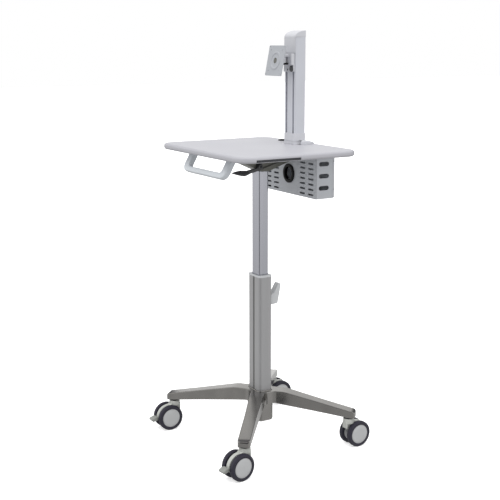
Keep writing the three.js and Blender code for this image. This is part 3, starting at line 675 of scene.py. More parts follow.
def star_plan(legs):
    """The plan's points, the leg each of them is on, and where each leg's two sides start in it."""
    plan, owner, marks = [], [], []
    for leg, following, side in zip(legs, legs[1:] + legs[:1], HUB_SIDES):
        stations = leg.stations()
        first = len(plan)
        plan += [leg.at(s, -leg.half(s)) for s in stations]
        right, left = leg.at(leg.tip, -LEG_HALF), leg.at(leg.tip, LEG_HALF)
        plan += round_corner(plan[-1], right, left, TIP_CORNER, 6)
        plan += round_corner(right, left, leg.at(0, LEG_HALF), TIP_CORNER, 6)
        marks.append((first, len(plan), len(stations)))
        plan += [leg.at(s, leg.half(s)) for s in reversed(stations)]
        owner += [leg] * (len(plan) - len(owner))
        plan += hub_curve(leg, following, side)
        owner += [None] * (len(plan) - len(owner))
    return plan, owner, marks


def star_height(leg, at, is_top):
    """Height of the casting's top or underside at a point of its plan, on a leg or on the hub."""
    if leg is None:
        return LEG_TOP if is_top else HUB_UNDER
    reach = Vector(at).dot(leg.along)
    return leg.top(reach) if is_top else leg.under(reach)


def star_cap(points, marks, start, end, hole):
    """Faces over the star's top or underside: strips across the legs, their tips, and the hub."""
    faces, hub = [], []
    for (first, left, count), (after, *_) in zip(marks, marks[1:] + marks[:1]):
        back = left + count - 1
        for k in range(count - 1):
            quad = (first + k, first + k + 1, back - k - 1, back - k)
            faces.append(tuple(start + n for n in quad))
        faces.append(tuple(range(start + first + count - 1, start + left + 1)))
        hub += [first, *range(back, after or end)]
    loops = [[start + n for n in hub], list(hole)]
    return faces + filled(loops[0] + loops[1], [[points[n].xy for n in loop] for loop in loops])


def leg_star():
    """The legs and the hub as one shell: rings of points round the plan, at their legs' heights."""
    plan, owner, marks = star_plan(sorted(map(Leg, CORNERS), key=lambda leg: leg.angle))
    levels = [(False, 1.6, 0), (False, 0.5, 0.5), (False, 0, 1.6)]  # (is it the top, inset, offset)
    for t in (0, 0.4, 0.8, 1.2, math.pi / 2):
        levels.append((True, TOP_EDGE * (1 - math.cos(t)), -TOP_EDGE * (1 - math.sin(t))))
    points, faces, rings = [], [], []
    for is_top, shrink, offset in levels:
        rings.append(len(points))
        for at, leg in zip(inset(plan, shrink) if shrink else plan, owner):
            points.append(Vector((*at, star_height(leg, at, is_top) + offset)))
    for lower, upper in zip(rings, rings[1:]):
        bridge(faces, lower, upper, len(plan))
    passage, holes = tube_passage(), []
    for height in (HUB_UNDER, LEG_TOP):
        holes.append(range(len(points), len(points) + len(passage)))
        points += [Vector((x, y, height)) for x, y in passage]
    bridge(faces, holes[0].start, holes[1].start, len(passage))
    for start, hole in ((rings[0], holes[0]), (rings[-1], holes[1])):
        faces += star_cap(points, marks, start, len(plan), hole)
    return points, faces


def tube_passage():
    """The outline of the hole that takes the outer tube."""
    return around(outer_tube, TUBE_GAP, TUBE_CORNER + TUBE_GAP, 8)


def hub_curve(leg, following, hub_side):
    """The plan's edge from a leg's left side round the hub to the next leg's right side."""
    axis, limit = hub_side
    bend, half = LEG_BEND[0], leg.half(LEG_BEND[0])

    def meet(one, side):
        return one.at((limit - one.across[axis] * side) / one.along[axis], side)

    corners = [
        leg.at(bend, half), meet(leg, half), meet(following, -half), following.at(bend, -half),
    ]
    return round_corner(*corners[:3], HUB_ROUND, 7) + round_corner(*corners[1:], HUB_ROUND, 7)


def leg_hollow(leg):
    """The channel under a leg, as a cutting tool."""
    half = LEG_HALF - LEG_WALL
    loops = []
    for reach in (68, LEG_BEND[1], leg.reach - 24):
        roof = leg.top(reach) - LEG_WALL - 2
        section = [(-half, 90), (half, 90), (half - 1.5, roof - 4)]
        section += [(half - 5, roof), (5 - half, roof), (1.5 - half, roof - 4)]
        loops.append([Vector((*leg.at(reach, t), z)) for t, z in section])
    return loft(loops)


def base_parts():
    legs = [Leg(corner) for corner in CORNERS]
    shell = carved("base", leg_star(), [leg_hollow(leg) for leg in legs])
    boss = [(0, LEG_FOOT - 1), (19, LEG_FOOT - 1), (21, LEG_FOOT + 1), (21, LEG_FOOT + 12)]
    boss.append((0, LEG_FOOT + 12))
    bosses = [turned(boss, 48, at=(*leg.at(leg.reach, 0), 0)) for leg in legs]
    return [shell, *bosses, hub_rim()]


def hub_rim():
    """Low raised rim round the outer tube, with a rounded top edge."""
    outline = around(outer_tube, RIM_WIDTH, TUBE_CORNER + RIM_WIDTH, 8)
    return plate(outline, [tube_passage()], LEG_TOP - 1, LEG_TOP + RIM_HEIGHT, 1.6, low_edge=0)


def grooved_outline(span, corner, half, depth):
    """A rounded rectangle with a groove down the middle of its front and back."""
    groove = [(-half - 0.8, 0, 0.5), (-half, depth, 0.3), (half, depth, 0.3), (half + 0.8, 0, 0.5)]
    corners = [(span.x0, span.y0, corner)]
    corners += [(x, span.y0 + inwards, radius) for x, inwards, radius in groove]
    corners += [(span.x1, span.y0, corner), (span.x1, span.y1, corner)]
    corners += [(-x, span.y1 - inwards, radius) for x, inwards, radius in groove]
    return filleted([*corners, (span.x0, span.y1, corner)], 8)


def build_base():
    piece("leg_star", "base", CAST, base_parts(), ["base_casting"], 40)
    cup = plate(around(pot, 0, 16, 10), (), pot.z0, pot.z1, 0.6, steps=6, low_edge=9)
    cup = carved("cup", cup, [plate(tube_passage(), (), pot.z0 + CUP_FLOOR, pot.z1 + 5)])
    drain = turned([(0, pot.z0 - 0.1), (7, pot.z0 - 0.1), (8, pot.z0 + 1), (0, pot.z0 + 1)], 32)
    piece("hub_cup", "base", CAST, [cup, drain], ["hub_pot"])
    build_outer_tube()
    build_bezel()
    build_hook()


def build_outer_tube():
    """The outer tube, and a dark strip in its front groove that is painted shade for the groove."""
    (half, depth), front, low, high = TUBE_GROOVE, outer_tube.y0, outer_tube.z0, outer_tube.z1
    # A thin dark sheet on the groove's floor, painted shade for the shadow down the groove.
    groove_shade = block(0.1 - half, half - 0.1, front + 1.2, front + depth + 0.1, low, high, 0.2)
    piece("outer_tube_groove_painted_shade", "base", GROOVE_PAINTED_SHADE, [groove_shade])
    inside = around(outer_tube, -TUBE_WALL, TUBE_CORNER - TUBE_WALL, 8)
    outline = grooved_outline(outer_tube, TUBE_CORNER, half, depth)
    wall = plate(outline, [inside], low, high, 0.2, steps=1)
    piece("outer_tube", "base", OUTER_COLUMN, [wall], ["outer_column"])


def build_bezel():
    """Collar on the outer tube's top, with a skirt that reaches down inside it."""
    bezel, seat = Span("column_bezel"), outer_tube.z1
    passage = [around(Span("inner_column"), 0.5, 5.5)]
    outline = around(bezel, 0, TUBE_CORNER + 1.5, 10)
    rim = plate(outline, passage, seat + 0.3, bezel.z1, 1.6, low_edge=0.3)
    skirt = plate(around(outer_tube, -3, TUBE_CORNER - 3), passage, bezel.z0, seat + 0.8)
    piece("column_collar", "base", BEZEL, [rim, skirt], ["column_bezel"])


def build_hook():
    """Cord cleat behind the column, flaring upwards."""
    hook = Span("cord_hook")
    profile = [
        (hook.y0, 531, 0.5), (70, 533.5, 7), (84, 604, 5), (81, 611.5, 3.5), (73, 610.5, 4),
        (53, 575, 8), (44, 570, 3), (hook.y0, 572, 0.5),
    ]
    arm = plate(filleted(profile, 5), (), -hook.x1, hook.x1, 1.6, "x")
    piece("cord_cleat", "base", HOOK, [arm], ["cord_hook"])


# ---- Lift: inner column, yoke, lever


INNER_CORNER, INNER_WALL = 6.0, 2.8
YOKE_FLOOR, YOKE_SHEET = 1045.3, 3.0
LIP_WIDTH = 9.0


def build_inner_column():
    inner = Span("inner_column")
    inside = around(inner, -INNER_WALL, INNER_CORNER - INNER_WALL)
    outline = around(inner, 0, INNER_CORNER, 10)
    wall = plate(outline, [inside], inner.z0, inner.z1, 0.2, steps=1)
    piece("inner_tube", "lift", INNER_COLUMN, [wall], ["inner_column"])


def yoke_parts(yoke, bore):
    """Folded channel: cheeks, the band under them, lips, rear wall, and the plug in the column."""
    half, top, rear, floor = yoke.x1 - LIP_WIDTH, yoke.z1, yoke.y1, YOKE_FLOOR
    cheek = filleted([
        (-164, top, 0), (-15, floor, 5), (15, floor, 10), (74, 1066, 10), (rear, 1083, 2),
        (rear, top, 0.5),
    ])
    band = filleted([
        (-159, top - 2, 0), (-15, floor + 0.3, 5), (15, floor + 0.3, 10), (74, 1066.3, 10),
        (rear, 1083.3, 0), (rear, 1086.3, 0), (73, 1069.3, 10), (14, floor + YOKE_SHEET, 8),
        (-14, floor + YOKE_SHEET, 4), (-152, top - 2, 0),
    ])
    lip = [(-16, 1053.5, 0.5), (68, 1078.3, 8), (84, 1083, 1)]
    lip += [(84, 1086.5, 1), (68, 1081.8, 8), (-16, 1057, 0.5)]
    return [
        *both_sides(plate(cheek, [bore], half - YOKE_SHEET, half, 0.5, "x")),
        plate(band, (), 1 - half, half - 1, 0, "x"),
        *both_sides(plate(filleted(lip), (), half - 1, half + LIP_WIDTH, 0.6, "x")),
        plate(rectangle(1 - half, half - 1, 1084, top, 1), (), rear - YOKE_SHEET, rear, 0.4, "y"),
        block(-22.9, 22.9, -17.9, 17.9, yoke.z0, floor + 1, 0.5, 2),
    ]


def build_yoke():
    """The yoke, the hanger of the lever beside it, and the bolts down into the column."""
    yoke, hinge = Span("column_yoke"), pivot("height_lever_pull")
    bore, half = circle(hinge.y, hinge.z, 3.6, 24), yoke.x1 - LIP_WIDTH
    outline = rectangle(hinge.y - 11, hinge.y + 12, 1058, yoke.z1, 1.5)
    hanger = plate(outline, [bore], half, half + 3.2, 0.5, "x")
    piece("lever_hanger", "lift", BLACK_STEEL, [hanger])
    piece("column_bracket", "lift", YOKE_PAINT, yoke_parts(yoke, bore), ["column_yoke"])
    bolts = []
    for x in (-30, 30):
        for y in (-8, 8):
            bolts += screw((0, 0, -1), (x, y, YOKE_FLOOR), 4, 2.4)
    piece("bracket_bolts", "lift", STEEL, bolts)


GRIP_SECTIONS = (  # (y, half width, underside, top) from the grip's thin tip to the neck
    (-147, 2.5, 1048, 1050.5), (-144, 6, 1046.5, 1051.5), (-130, 13.5, 1042, 1054),
    (-118, 19, 1038.5, 1055.5), (-110, 20, 1037, 1055.8), (-102, 19, 1036.3, 1055.3),
    (-88, 12, 1038.8, 1054.4), (-78, 7, 1041.5, 1053.2),
)
LEVER_NECK = (  # (y, z, rounding) of the arm from the grip up to the hinge
    (-86, 1040.5, 3), (-22, 1055.5, 5), (-20, 1062, 3), (-24, 1072, 3), (-30, 1075, 3),
    (-36, 1072, 3), (-44, 1061.5, 6), (-86, 1054, 3),
)


def paddle_section(half, low, high):
    """A flat hexagon with a flat underside and a ridged top, its points softened."""
    middle = (low + high) / 2 - 0.15 * (high - low)
    edge = min(1.6, half * 0.3)
    corners = [
        (-half, middle, edge), (-half * 0.72, low, 2), (half * 0.72, low, 2), (half, middle, edge),
        (half * 0.34, high, 2), (-half * 0.34, high, 2),
    ]
    return filleted([(u, w, min(r, half * 0.2, (high - low) * 0.25)) for u, w, r in corners], 3)


def build_lever():
    shaft, (x, y, z) = Span("release_shaft"), pivot("height_lever_pull")
    sections = []
    for station, *sizes in GRIP_SECTIONS:
        sections.append([(x + u, station, w) for u, w in paddle_section(*sizes)])
    arm = plate(filleted(LEVER_NECK), [circle(y, z, 3.3, 24)], x - 6.5, x + 6.5, 1.6, "x")
    grip = [loft(sections), arm]
    piece("height_lever_handle", "height_lever", LEVER_PLASTIC, grip, ["release_lever"])
    bar = tube([(shaft.x0, y, z), (0, y, z), (shaft.x1, y, z)], 3, 24)
    outline = filleted([
        (y - 5, 1061.5, 1), (y + 8, 1062.4, 2), (shaft.y1, 1062.4, 1), (shaft.y1, 1066, 1.5),
        (y + 8, 1071, 3), (y - 5, 1071, 2),
    ])
    finger = plate(outline, (), -6, 6, 0.6, "x")
    piece("lever_shaft", "height_lever", BLACK_STEEL, [bar, finger], ["release_shaft"])


# ---- Worksurface, handle and tray


FRONT_CORNER, REAR_CORNER, DESK_NOSE = 58, 52, 8.5


def build_worksurface():
    desk, tray, lining = Span("worksurface"), Span("mouse_tray"), Span("desk_grommet")
    bore = lining.x1 - lining.x - 4
    outline = filleted([
        (desk.x0, desk.y0, FRONT_CORNER), (desk.x1, desk.y0, FRONT_CORNER),
        (desk.x1, desk.y1, REAR_CORNER), (desk.x0, desk.y1, REAR_CORNER),
    ], 18)
    board = plate(outline, (), desk.z0, desk.z1, DESK_NOSE, steps=6)
    room = (tray.x0 - 2, desk.x1 + 5, tray.y0 - 1, tray.y1 + 1, tray.z0 - 0.6, tray.z1 + 0.6)
    drill = cylinder(bore, desk.z0 - 5, desk.z1 + 5, 48, at=(lining.x, lining.y, 0))
    board = carved("board", board, [block(*room, 0.3), drill])
    piece("worksurface_board", "lift", DESK, [board], ["worksurface"])
    build_lining(lining, bore, desk.z1)
    build_tray(tray)


def build_lining(lining, bore, top):
    """Ring in the cable hole, with a raised rounded rim."""
    inner, outer = bore - 3.1, bore - 0.4
    ring = turned([
        (inner, top - 21), (outer, top - 21), (outer, top + 0.3), (bore + 4, top + 0.3),
        (bore + 3.9, top + 1.6), (bore + 2.8, top + 3.6), (bore + 0.8, top + 4.6),
        (inner + 1.2, top + 4.6), (inner + 0.3, top + 4.1), (inner, top + 3),
    ], 56, at=(lining.x, lining.y, 0))
    piece("cable_hole_lining", "lift", LINING_PLASTIC, [ring], ["desk_grommet"])


def build_tray(tray):
    outline = around(tray, 0, 3)
    floor = plate(outline, (), tray.z0, tray.z0 + 3.4, 0.6)
    well = rectangle(tray.x0 + 4, tray.x1 - 12, tray.y0 + 4, tray.y1 - 4, 5)
    rim = plate(outline, [well], tray.z0 + 3, tray.z1, 0.8, low_edge=0)
    piece("slide_out_tray", "tray", TRAY_PLASTIC, [floor, rim], ["mouse_tray"])


HANDLE_ROOT = (0, -199, 1108)
HANDLE_LEAN = 29.4  # degrees from upright
HANDLE_DROP = 75.4  # from its root to the bar's lower edge, along the lean


def build_handle():
    """Flat D-shaped loop that hangs from the worksurface's front and leans towards the user."""
    under, drop, (_, y, z) = Span("worksurface").z0, HANDLE_DROP, HANDLE_ROOT
    outside = filleted([(156, 40, 0), (156, -drop, 30), (-156, -drop, 30), (-156, 40, 0)], 12)
    inside = filleted([(121, 27, 2), (121, 21 - drop, 13), (-121, 21 - drop, 13), (-121, 27, 2)], 8)
    loop = plate(outside, [inside], -11, 11, 5.5, "y", 5)
    lean = Matrix.Rotation(math.radians(-HANDLE_LEAN), 4, "X")
    above = block(-200, 200, -300, -100, under - 0.3, under + 90, 0)
    loop = carved("handle", moved(loop, Matrix.Translation(HANDLE_ROOT) @ lean), [above])
    feet = both_sides(block(117, 160, -216, -182, z, under - 0.3, 1.2, 6))
    piece("push_handle_loop", "lift", HANDLE, [loop, *feet], ["push_handle"])
    screws = []
    for x in (-150, -127, 127, 150):
        screws += screw((0, 0, -1), (x, y, z), 3, 1.6)
    piece("handle_screws", "lift", STEEL, screws)


# ---- Equipment box


BOX_SHEET = 2.0
SLOT_COLUMNS, SLOT_TOP, SLOT_PITCH = (-143.5, -89.5, 89.5, 143.5), 1075, 18.8
OVAL_TOP, OVAL_PITCH = 1076, 43.7


def box_walls(shell, ring_height):
    """Folded sheet: slotted front, right side with ovals, plain left side, floor and flanges."""
    x0, x1, y0, y1, z0, z1 = shell.x0, shell.x1, shell.y0, shell.y1, shell.z0, shell.z1
    heights = [SLOT_TOP - SLOT_PITCH * row for row in range(7)]
    holes = [obround(x, z, 17, 3) for x in SLOT_COLUMNS for z in heights]
    holes.append(circle(0, ring_height, 33))
    ovals = [obround(161, OVAL_TOP - OVAL_PITCH * row, 22, 8, 12) for row in range(3)]
    face = rectangle(x0, x1, z0, z1, 0.8)
    side = rectangle(y0 + 0.4, y1, z0 + 0.2, z1, 0.6)
    return [
        plate(face, holes, y0, y0 + BOX_SHEET, 0.3, "y", 1, low_edge=0.8),
        plate(side, ovals, x1 - BOX_SHEET, x1, 0.5, "x", 2),
        plate(side, (), x0, x0 + BOX_SHEET, 0.5, "x", 2),
        block(x0 + 0.6, x1 - 0.6, y0 + 0.6, y1, z0, z0 + BOX_SHEET, 0.4),
        block(x0 + 2, x1 - 2, y0 + 1, y0 + 14, z1 - BOX_SHEET, z1, 0.3),
        *both_sides(block(x1 - 14, x1 - 2, y0 + 13, y1, z1 - BOX_SHEET, z1, 0.3)),
    ]


def box_screws(lid):
    """Three screws in each side of the back cover and six in its back."""
    screws, middle = [], (lid.y0 + lid.y1) / 2 + 0.3
    for z in (1084, 981, 954.5):
        for side in (-1, 1):
            screws += screw((side, 0, 0), (side * lid.x1, middle, z), 2.6, 1.2)
    for x in (-165, 0, 165):
        for z in (lid.z0 + 9, lid.z1 - 9):
            screws += screw((0, 1, 0), (x, lid.y1, z), 3, 1.4)
    return screws


def build_box():
    lid, ring, sheet = Span("box_lid"), Span("box_grommet"), BOX_SHEET
    piece("box_body", "lift", SILVER, box_walls(Span("box_shell"), ring.z), ["box_shell"])
    outline = rectangle(lid.x0, lid.x1, lid.z0, lid.z1, 6)
    back = plate(outline, (), lid.y1 - sheet, lid.y1, 1.4, "y", low_edge=0)
    hole = rectangle(lid.x0 + sheet, lid.x1 - sheet, lid.z0 + sheet, lid.z1 - sheet, 4)
    rim = plate(outline, [hole], lid.y0, lid.y1 - 1, 0.4, "y", 1)
    piece("box_back", "lift", SILVER, [back, rim], ["box_lid"])
    front, rear = ring.y0, ring.y1
    lining = turned([
        (24, front + 1), (26, front), (33, front), (35.4, front + 1.4), (36, front + 3),
        (36, front + 5.7), (32.6, front + 5.7), (32.6, rear), (24, rear),
    ], 56, "y", (0, 0, ring.z))
    piece("box_cable_ring", "lift", BLACK_PLASTIC, [lining], ["box_grommet"])
    piece("box_screws", "lift", STEEL, box_screws(lid))


# ---- Mast


SLOT_AT, SLOT_HALF, SLOT_DEPTH = 22.5, 8, 9  # the mast's two T-slots, either side of its middle
LIP_GAP, LIP_DEPTH = 5, 1.6  # half the opening between a slot's lips, and their thickness
TURNS = [math.pi / 2 * i / 20 for i in range(21)]  # of the hood's quarter ellipse, front to rear


def mast_outline(mast):
    """Rounded box section with two T-slots in its front face."""
    left, right, front, rear = mast.x0, mast.x1, mast.y0, mast.y1
    lip, bottom = front + LIP_DEPTH, front + SLOT_DEPTH
    corners = [(left, front, 4)]
    for x in (-SLOT_AT, SLOT_AT):
        corners += [
            (x - LIP_GAP, front, 0.6), (x - LIP_GAP, lip, 0.2), (x - SLOT_HALF, lip, 0.2),
            (x - SLOT_HALF, bottom, 0.2), (x + SLOT_HALF, bottom, 0.2), (x + SLOT_HALF, lip, 0.2),
            (x + LIP_GAP, lip, 0.2), (x + LIP_GAP, front, 0.6),
        ]
    return filleted([*corners, (right, front, 4), (right, rear, 4), (left, rear, 4)])


def build_mast():
    mast, cap = Span("mast_column"), Span("mast_cap")
    inside = rectangle(mast.x0 + 3, mast.x1 - 3, 142, mast.y1 - 3, 2)
    extrusion = plate(mast_outline(mast), [inside], mast.z0, mast.z1, 0)
    piece("mast_extrusion", "lift", MAST_PAINT, [extrusion], ["mast_column"])
    base, depth = mast.z1 + 0.3, cap.y1 - cap.y0
    crown = [(cap.y1 - depth * math.cos(t), base + (cap.z1 - base) * math.sin(t)) for t in TURNS]
    hood = plate([*crown, (cap.y1, base)], (), cap.x0, cap.x1, 1.5, "x")
    outline = rectangle(cap.x0, cap.x1, Span("mount_carriage").z1 + 0.6, mast.z1 + 1, 1)
    fascia = plate(outline, (), cap.y0, mast.y0 - 0.3, 0, "y", low_edge=1.6)
    piece("mast_top_cover", "lift", MAST_PLASTIC, [hood, fascia], ["mast_cap"])
    build_mast_foot(mast, Span("mast_foot"))


def build_mast_foot(mast, foot):
    """Collar round the mast, and a skirt whose top slopes down towards its rear."""
    passage, rear = [around(mast, 0.3, 4.3)], foot.y1
    shroud = plate(around(mast, 2, 6), passage, foot.z0, foot.z1, 0.9, low_edge=0)
    outline = filleted([
        (-46, 150, 3), (46, 150, 3), (55, 158, 5), (55, 184, 12), (40, rear, 12), (-40, rear, 12),
        (-55, 184, 12), (-55, 158, 5),
    ])
    drawn, high, low, start = 9.0, 15.0, 5.0, 175.0
    skirt = plate(outline, passage, foot.z0, foot.z0 + drawn, 4, low_edge=0, steps=4)
    slope = (high - low) / (rear - start)
    for p in skirt[0]:
        p.z = foot.z0 + (p.z - foot.z0) / drawn * (high - slope * max(0.0, p.y - start))
    piece("mast_foot_cover", "lift", MAST_PLASTIC, [shroud, skirt], ["mast_foot"])


# ---- Monitor mount


HEAD_LOW, TONGUE_TOP = 1424, 1464
UPPER_LUG, LOWER_LUG = (1454, 1462), (1426, 1432)
SET_SCREW = (-6, 1408)


def build_carriage():
    """Block on the mast, an apron below it, tongues in the T-slots, and lugs for the pan pin."""
    carriage, mast = Span("mount_carriage"), Span("mast_column")
    pan, knob = pivot("monitor_pan"), pivot("clamp_knob_turn")
    x0, x1, front, face = carriage.x0, carriage.x1, 112, mast.y0 - 0.6
    head = block(x0, x1, front, face, HEAD_LOW, carriage.z1, 2.2, 2.2)
    holes = [circle(knob.x, knob.z, 2.5, 24), circle(*SET_SCREW, 3.6, 24)]
    outline = rectangle(x0, x1, carriage.z0, HEAD_LOW + 3, 2.5)
    parts = [head, plate(outline, holes, front + 9, face, 1.2, "y")]
    for x in (-SLOT_AT, SLOT_AT):
        low = 1404 if x < 0 else knob.z + 4
        wide = rectangle(x - 6.3, x + 6.3, low, TONGUE_TOP, 1)
        neck = rectangle(x - 3.4, x + 3.4, low, TONGUE_TOP, 0.3)
        parts += [plate(wide, (), 132.2, 136.3, 0.3, "y"), plate(neck, (), face - 1, 132.5, 0, "y")]
    lug = [(-13, 113)] + arc(0, pan.y, 12, 180, 360, 20) + [(13, 113)]
    bore = [circle(0, pan.y, 4.4, 24)]
    parts.append(plate(lug, bore, *UPPER_LUG, 0.8))
    piece("mount_slider", "carriage", MAST_PLASTIC, parts, ["mount_carriage"])
    piece("slider_lower_lug", "carriage", BLACK_PLASTIC, [plate(lug, bore, *LOWER_LUG, 0.8)])
    set_screw = plate(circle(*SET_SCREW, 3.4, 20), (), front + 10.5, face, 0.2, "y")
    piece("slider_set_screw", "carriage", BLACK_PLASTIC, [set_screw])
    build_knob(knob)


def build_knob(knob):
    """Shallow clamp knob with a fluted rim."""
    span, at = Span("carriage_knob"), (knob.x, 0, knob.z)
    radius, front, rear = (span.x1 - span.x0) / 2, span.y0, span.y0 + 4.6
    turns = [math.radians(6 * a) for a in range(60)]
    rim = [radius - 0.5 - 0.5 * math.cos(12 * t) for t in turns]
    grip = [(knob.x + r * math.cos(t), knob.z + r * math.sin(t)) for r, t in zip(rim, turns)]
    cap = [(0, front), (8.5, front), (9.5, front + 0.8), (9.5, front + 2), (0, front + 2)]
    stud = cylinder(2.1, rear - 1, span.y1, 20, "y", at)
    parts = [plate(grip, (), front + 1, rear, 1, "y"), turned(cap, 36, "y", at), stud]
    piece("slider_clamp_knob", "knob", LEVER_PLASTIC, parts, ["carriage_knob"])


def build_pan_bracket():
    """Barrel on the pan pin, and a fork that carries the tilt axle."""
    bracket, pan, tilt = Span("pan_bracket"), pivot("monitor_pan"), pivot("monitor_tilt")
    at = (0, pan.y, 0)
    barrel = [(0, 1432.4), (8.2, 1432.4), (9, 1433.2), (9, 1452.8), (8.2, 1453.6), (0, 1453.6)]
    low, high, rear = tilt.z - 3.5, tilt.z + 12, pan.y - 2
    cheek = arc(tilt.y, tilt.z, 7.5, 90, 270, 14) + [(rear, low), (rear, high)]
    parts = [turned(barrel, 40, at=at), cylinder(4, bracket.z0, bracket.z1, 24, at=at)]
    parts += both_sides(plate(cheek, [circle(tilt.y, tilt.z, 3.4, 24)], 12, 16, 0.6, "x"))
    parts.append(block(-15, 15, pan.y - 7.5, rear, low, high, 0.6))
    piece("pan_fork", "pan_arm", MAST_PLASTIC, parts, ["pan_bracket"])


PLATE_HALF, PLATE_SHEET = 55, 3
HOLE_PATTERNS = (37.5, 50)  # half the 75 and 100 mm squares of monitor screws


def build_plate():
    """Tilt head and monitor plate, drawn square to the mast and laid back about the tilt axis."""
    tilt, centre = pivot("monitor_tilt"), pivot("monitor_rotate")
    lean = math.asin(Vector(JOINTS["monitor_rotate"]["axis"]).z)
    turn = Matrix.Rotation(-lean, 4, "X")
    laid_back = Matrix.Translation(tilt) @ turn @ Matrix.Translation(-tilt)
    y, z = tilt.y, tilt.z
    front = y - (centre - tilt).length
    rear = front + 11

    def put(name, body, material, parts, *nodes):
        piece(name, body, material, [moved(p, laid_back) for p in parts], nodes)

    def spun(sides, *profile):
        """A profile of (radius, distance behind the plate's face), turned about its middle."""
        return turned([(radius, front + back) for radius, back in profile], sides, "y", (0, 0, z))

    put("plate_pivot_cap", "tilt_arm", YOKE_PAINT, [
        spun(32, (0, -0.4), (9, -0.4), (10, 0.4), (10, 2.4), (0, 2.4)),
    ])
    knuckle = arc(y, z, 6.5, 90, -90, 14) + [(rear, z - 9), (rear, z + 9)]
    put("tilt_knuckle", "tilt_arm", YOKE_PAINT, [
        plate(knuckle, (), -11.4, 11.4, 0.8, "x"),
        tube([(-17.5, y, z), (0, y, z), (17.5, y, z)], 3, 20),
        spun(32, (0, 1.5), (6, 1.5), (7, 2.6), (7, 11.1), (0, 11.1)),
    ], "tilt_head")
    signs = [(x, up) for x in (-1, 1) for up in (-1, 1)]
    holes = [circle(x * s, z + up * s, 2.3, 16) for s in HOLE_PATTERNS for x, up in signs]
    outline = rectangle(-PLATE_HALF, PLATE_HALF, z - PLATE_HALF, z + PLATE_HALF, 5)
    put("monitor_plate_sheet", "monitor_plate", PLATE_PAINT, [
        plate(outline, [*holes, circle(0, z, 10.6, 40)], front, front + PLATE_SHEET, 0.7, "y"),
        spun(48, (7.5, 2.9), (24, 2.9), (24, 9.6), (23, 10.6), (7.5, 10.6)),
        spun(72, (24, 0.6), (25.4, -1.2), (27, -2), (31, -2), (32.6, -1.2), (33.4, 0.6)),
        spun(40, (10.6, 0.4), (10.6, -0.6), (13, -0.6), (14, 0.4)),
    ], "vesa_plate")


# ---- Inner pieces that keep their CAD shape


def dress_frame_nodes():
    """Materials for the sealed pieces that stay as they are."""
    finishes = {f"{corner}_axle": STEEL for corner in CORNERS}
    finishes.update(gas_spring_cylinder=BLACK_STEEL, gas_spring_rod=STEEL)
    finishes.update(column_glide=BLACK_PLASTIC, release_pin=STEEL)
    for node, material in finishes.items():
        mesh = frame["nodes"][node].data
        mesh.materials.clear()
        mesh.materials.append(material)


# ---- Studio

CAMERA_AT = (3.110, -1.8906, 1.5057)
CAMERA_AZIMUTH, CAMERA_FALL, CAMERA_ROLL = 59.3, 11.8, -0.1  # degrees
LENS, SENSOR = 71.56, 36.0
OVERHEAD, UNDERFOOT, VIEWER_SIDE = 0.86, 0.62, 0.75  # brightness round the cart, with 1 as white
VIEWER_WAY = (0.8, -0.6, 0.0)  # roughly towards the camera


def build_camera():
    data = bpy.data.cameras.new("camera")
    data.lens, data.sensor_width = LENS, SENSOR
    camera = add_object("camera", data)
    turn, fall = math.radians(CAMERA_AZIMUTH), math.radians(CAMERA_FALL)
    level = math.cos(fall)
    forward = Vector((-math.sin(turn) * level, math.cos(turn) * level, -math.sin(fall)))
    aim = forward.to_track_quat("-Z", "Y").to_matrix().to_4x4()
    roll = Matrix.Rotation(math.radians(CAMERA_ROLL), 4, "Z")
    camera.matrix_world = Matrix.Translation(CAMERA_AT) @ aim @ roll
    bpy.context.scene.camera = camera


def build_world():
    """Plain white surroundings, greyer overhead and dimmer below and on the viewer's side."""
    world = bpy.data.worlds.new("studio")
    bpy.context.scene.world = world
    nodes = Nodes(world, "Background")
    direction = nodes.add("TexCoord").outputs["Generated"]
    height = nodes.add("SeparateXYZ", {"Vector": direction}).outputs["Z"]
    towards = nodes.add("VectorMath", {0: direction, 1: VIEWER_WAY}, operation="DOT_PRODUCT")
    strength = nodes.ranged(height, 1.0, OVERHEAD, 0.12, 0.55)
    for shade in (
        nodes.ranged(towards.outputs["Value"], 1.0, VIEWER_SIDE, 0.55, 0.9),
        nodes.ranged(height, UNDERFOOT, 1.0, -0.3, -0.06),
    ):
        strength = nodes.add("Math", {0: strength, 1: shade}, operation="MULTIPLY").outputs["Value"]
    nodes.shader.inputs["Color"].default_value = (1, 1, 1, 1)
    nodes.link(strength, "Strength")


def sun(name, towards_lamp, strength, softness):
    """Distant light: the direction to it, its strength, and how many degrees of sky it fills."""
    data = bpy.data.lights.new(name, "SUN")
    data.energy, data.angle = strength, math.radians(softness)
    lamp = add_object(name, data)
    lamp.visible_glossy = False
    lamp.matrix_world = Vector(towards_lamp).to_track_quat("Z", "Y").to_matrix().to_4x4()


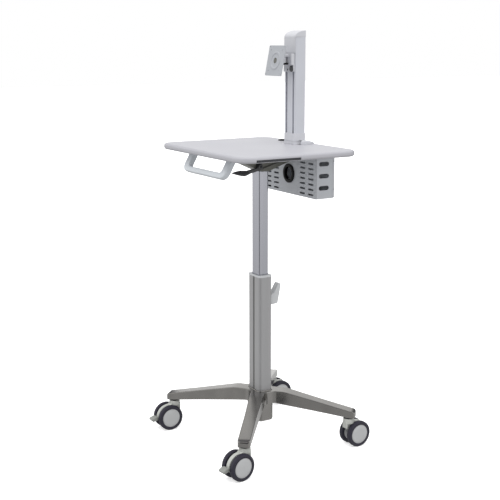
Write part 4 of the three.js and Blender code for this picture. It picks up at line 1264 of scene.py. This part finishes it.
DARK_CARDS = ((-35, 0.7), (100, 0.9), (180, 0.55))  # (degrees round from +X, half width in metres)
CARD_DISTANCE, CARD_HEIGHT = 2.4, 2.6  # metres


def matt(name, first, second, patches, roughness):
    """A dull material between two greys, and its nodes."""
    material = bpy.data.materials.new(name)
    nodes = Nodes(material)
    nodes.shader.inputs["Roughness"].default_value = roughness
    nodes.link(nodes.mix(nodes.noise(patches, 2), first, second), "Base Color")
    return material, nodes


def build_dark_cards():
    """Dark upright panels round the cart, seen only in glossy metal."""
    material, _ = matt("dark_card", (0.05, 0.05, 0.06, 1), (0.08, 0.08, 0.09, 1), 2, 0.9)
    for number, (azimuth, half) in enumerate(DARK_CARDS):
        sheet = rectangle(-half / MM, half / MM, 0, CARD_HEIGHT / MM, 5)
        mesh = mesh_of(f"card_{number}", [plate(sheet, (), -2, 2, 0, "y")])
        mesh.materials.append(material)
        card = add_object(f"card_{number}", mesh)
        place = Matrix.Translation((CARD_DISTANCE, 0, 0)) @ Matrix.Rotation(math.pi / 2, 4, "Z")
        card.matrix_world = Matrix.Rotation(math.radians(azimuth), 4, "Z") @ place
        card.visible_camera = card.visible_diffuse = card.visible_shadow = False


def build_floor():
    """A white floor with a glow of its own, so that only contact shadows show on it."""
    mesh = mesh_of("floor", [plate(rectangle(-30000, 30000, -30000, 30000, 10), (), -20, 0)])
    floor = add_object("floor", mesh)
    floor.visible_diffuse = floor.visible_glossy = False
    material, nodes = matt("studio_floor", (0.93, 0.93, 0.93, 1), (0.95, 0.95, 0.95, 1), 3, 0.7)
    nodes.shader.inputs["Emission Color"].default_value = (1, 1, 1, 1)
    nodes.shader.inputs["Emission Strength"].default_value = 0.5
    mesh.materials.append(material)


def build_studio():
    build_camera()
    build_world()
    build_floor()
    build_dark_cards()
    sun("key", (0.3, -0.25, 0.8), 1.57, 50)
    bpy.context.scene.view_settings.view_transform = "Standard"


build_studio()
build_base()
for corner_name in CORNERS:
    build_caster(corner_name)
build_inner_column()
build_yoke()
build_lever()
build_worksurface()
build_handle()
build_box()
build_mast()
build_carriage()
build_pan_bracket()
build_plate()
dress_frame_nodes()
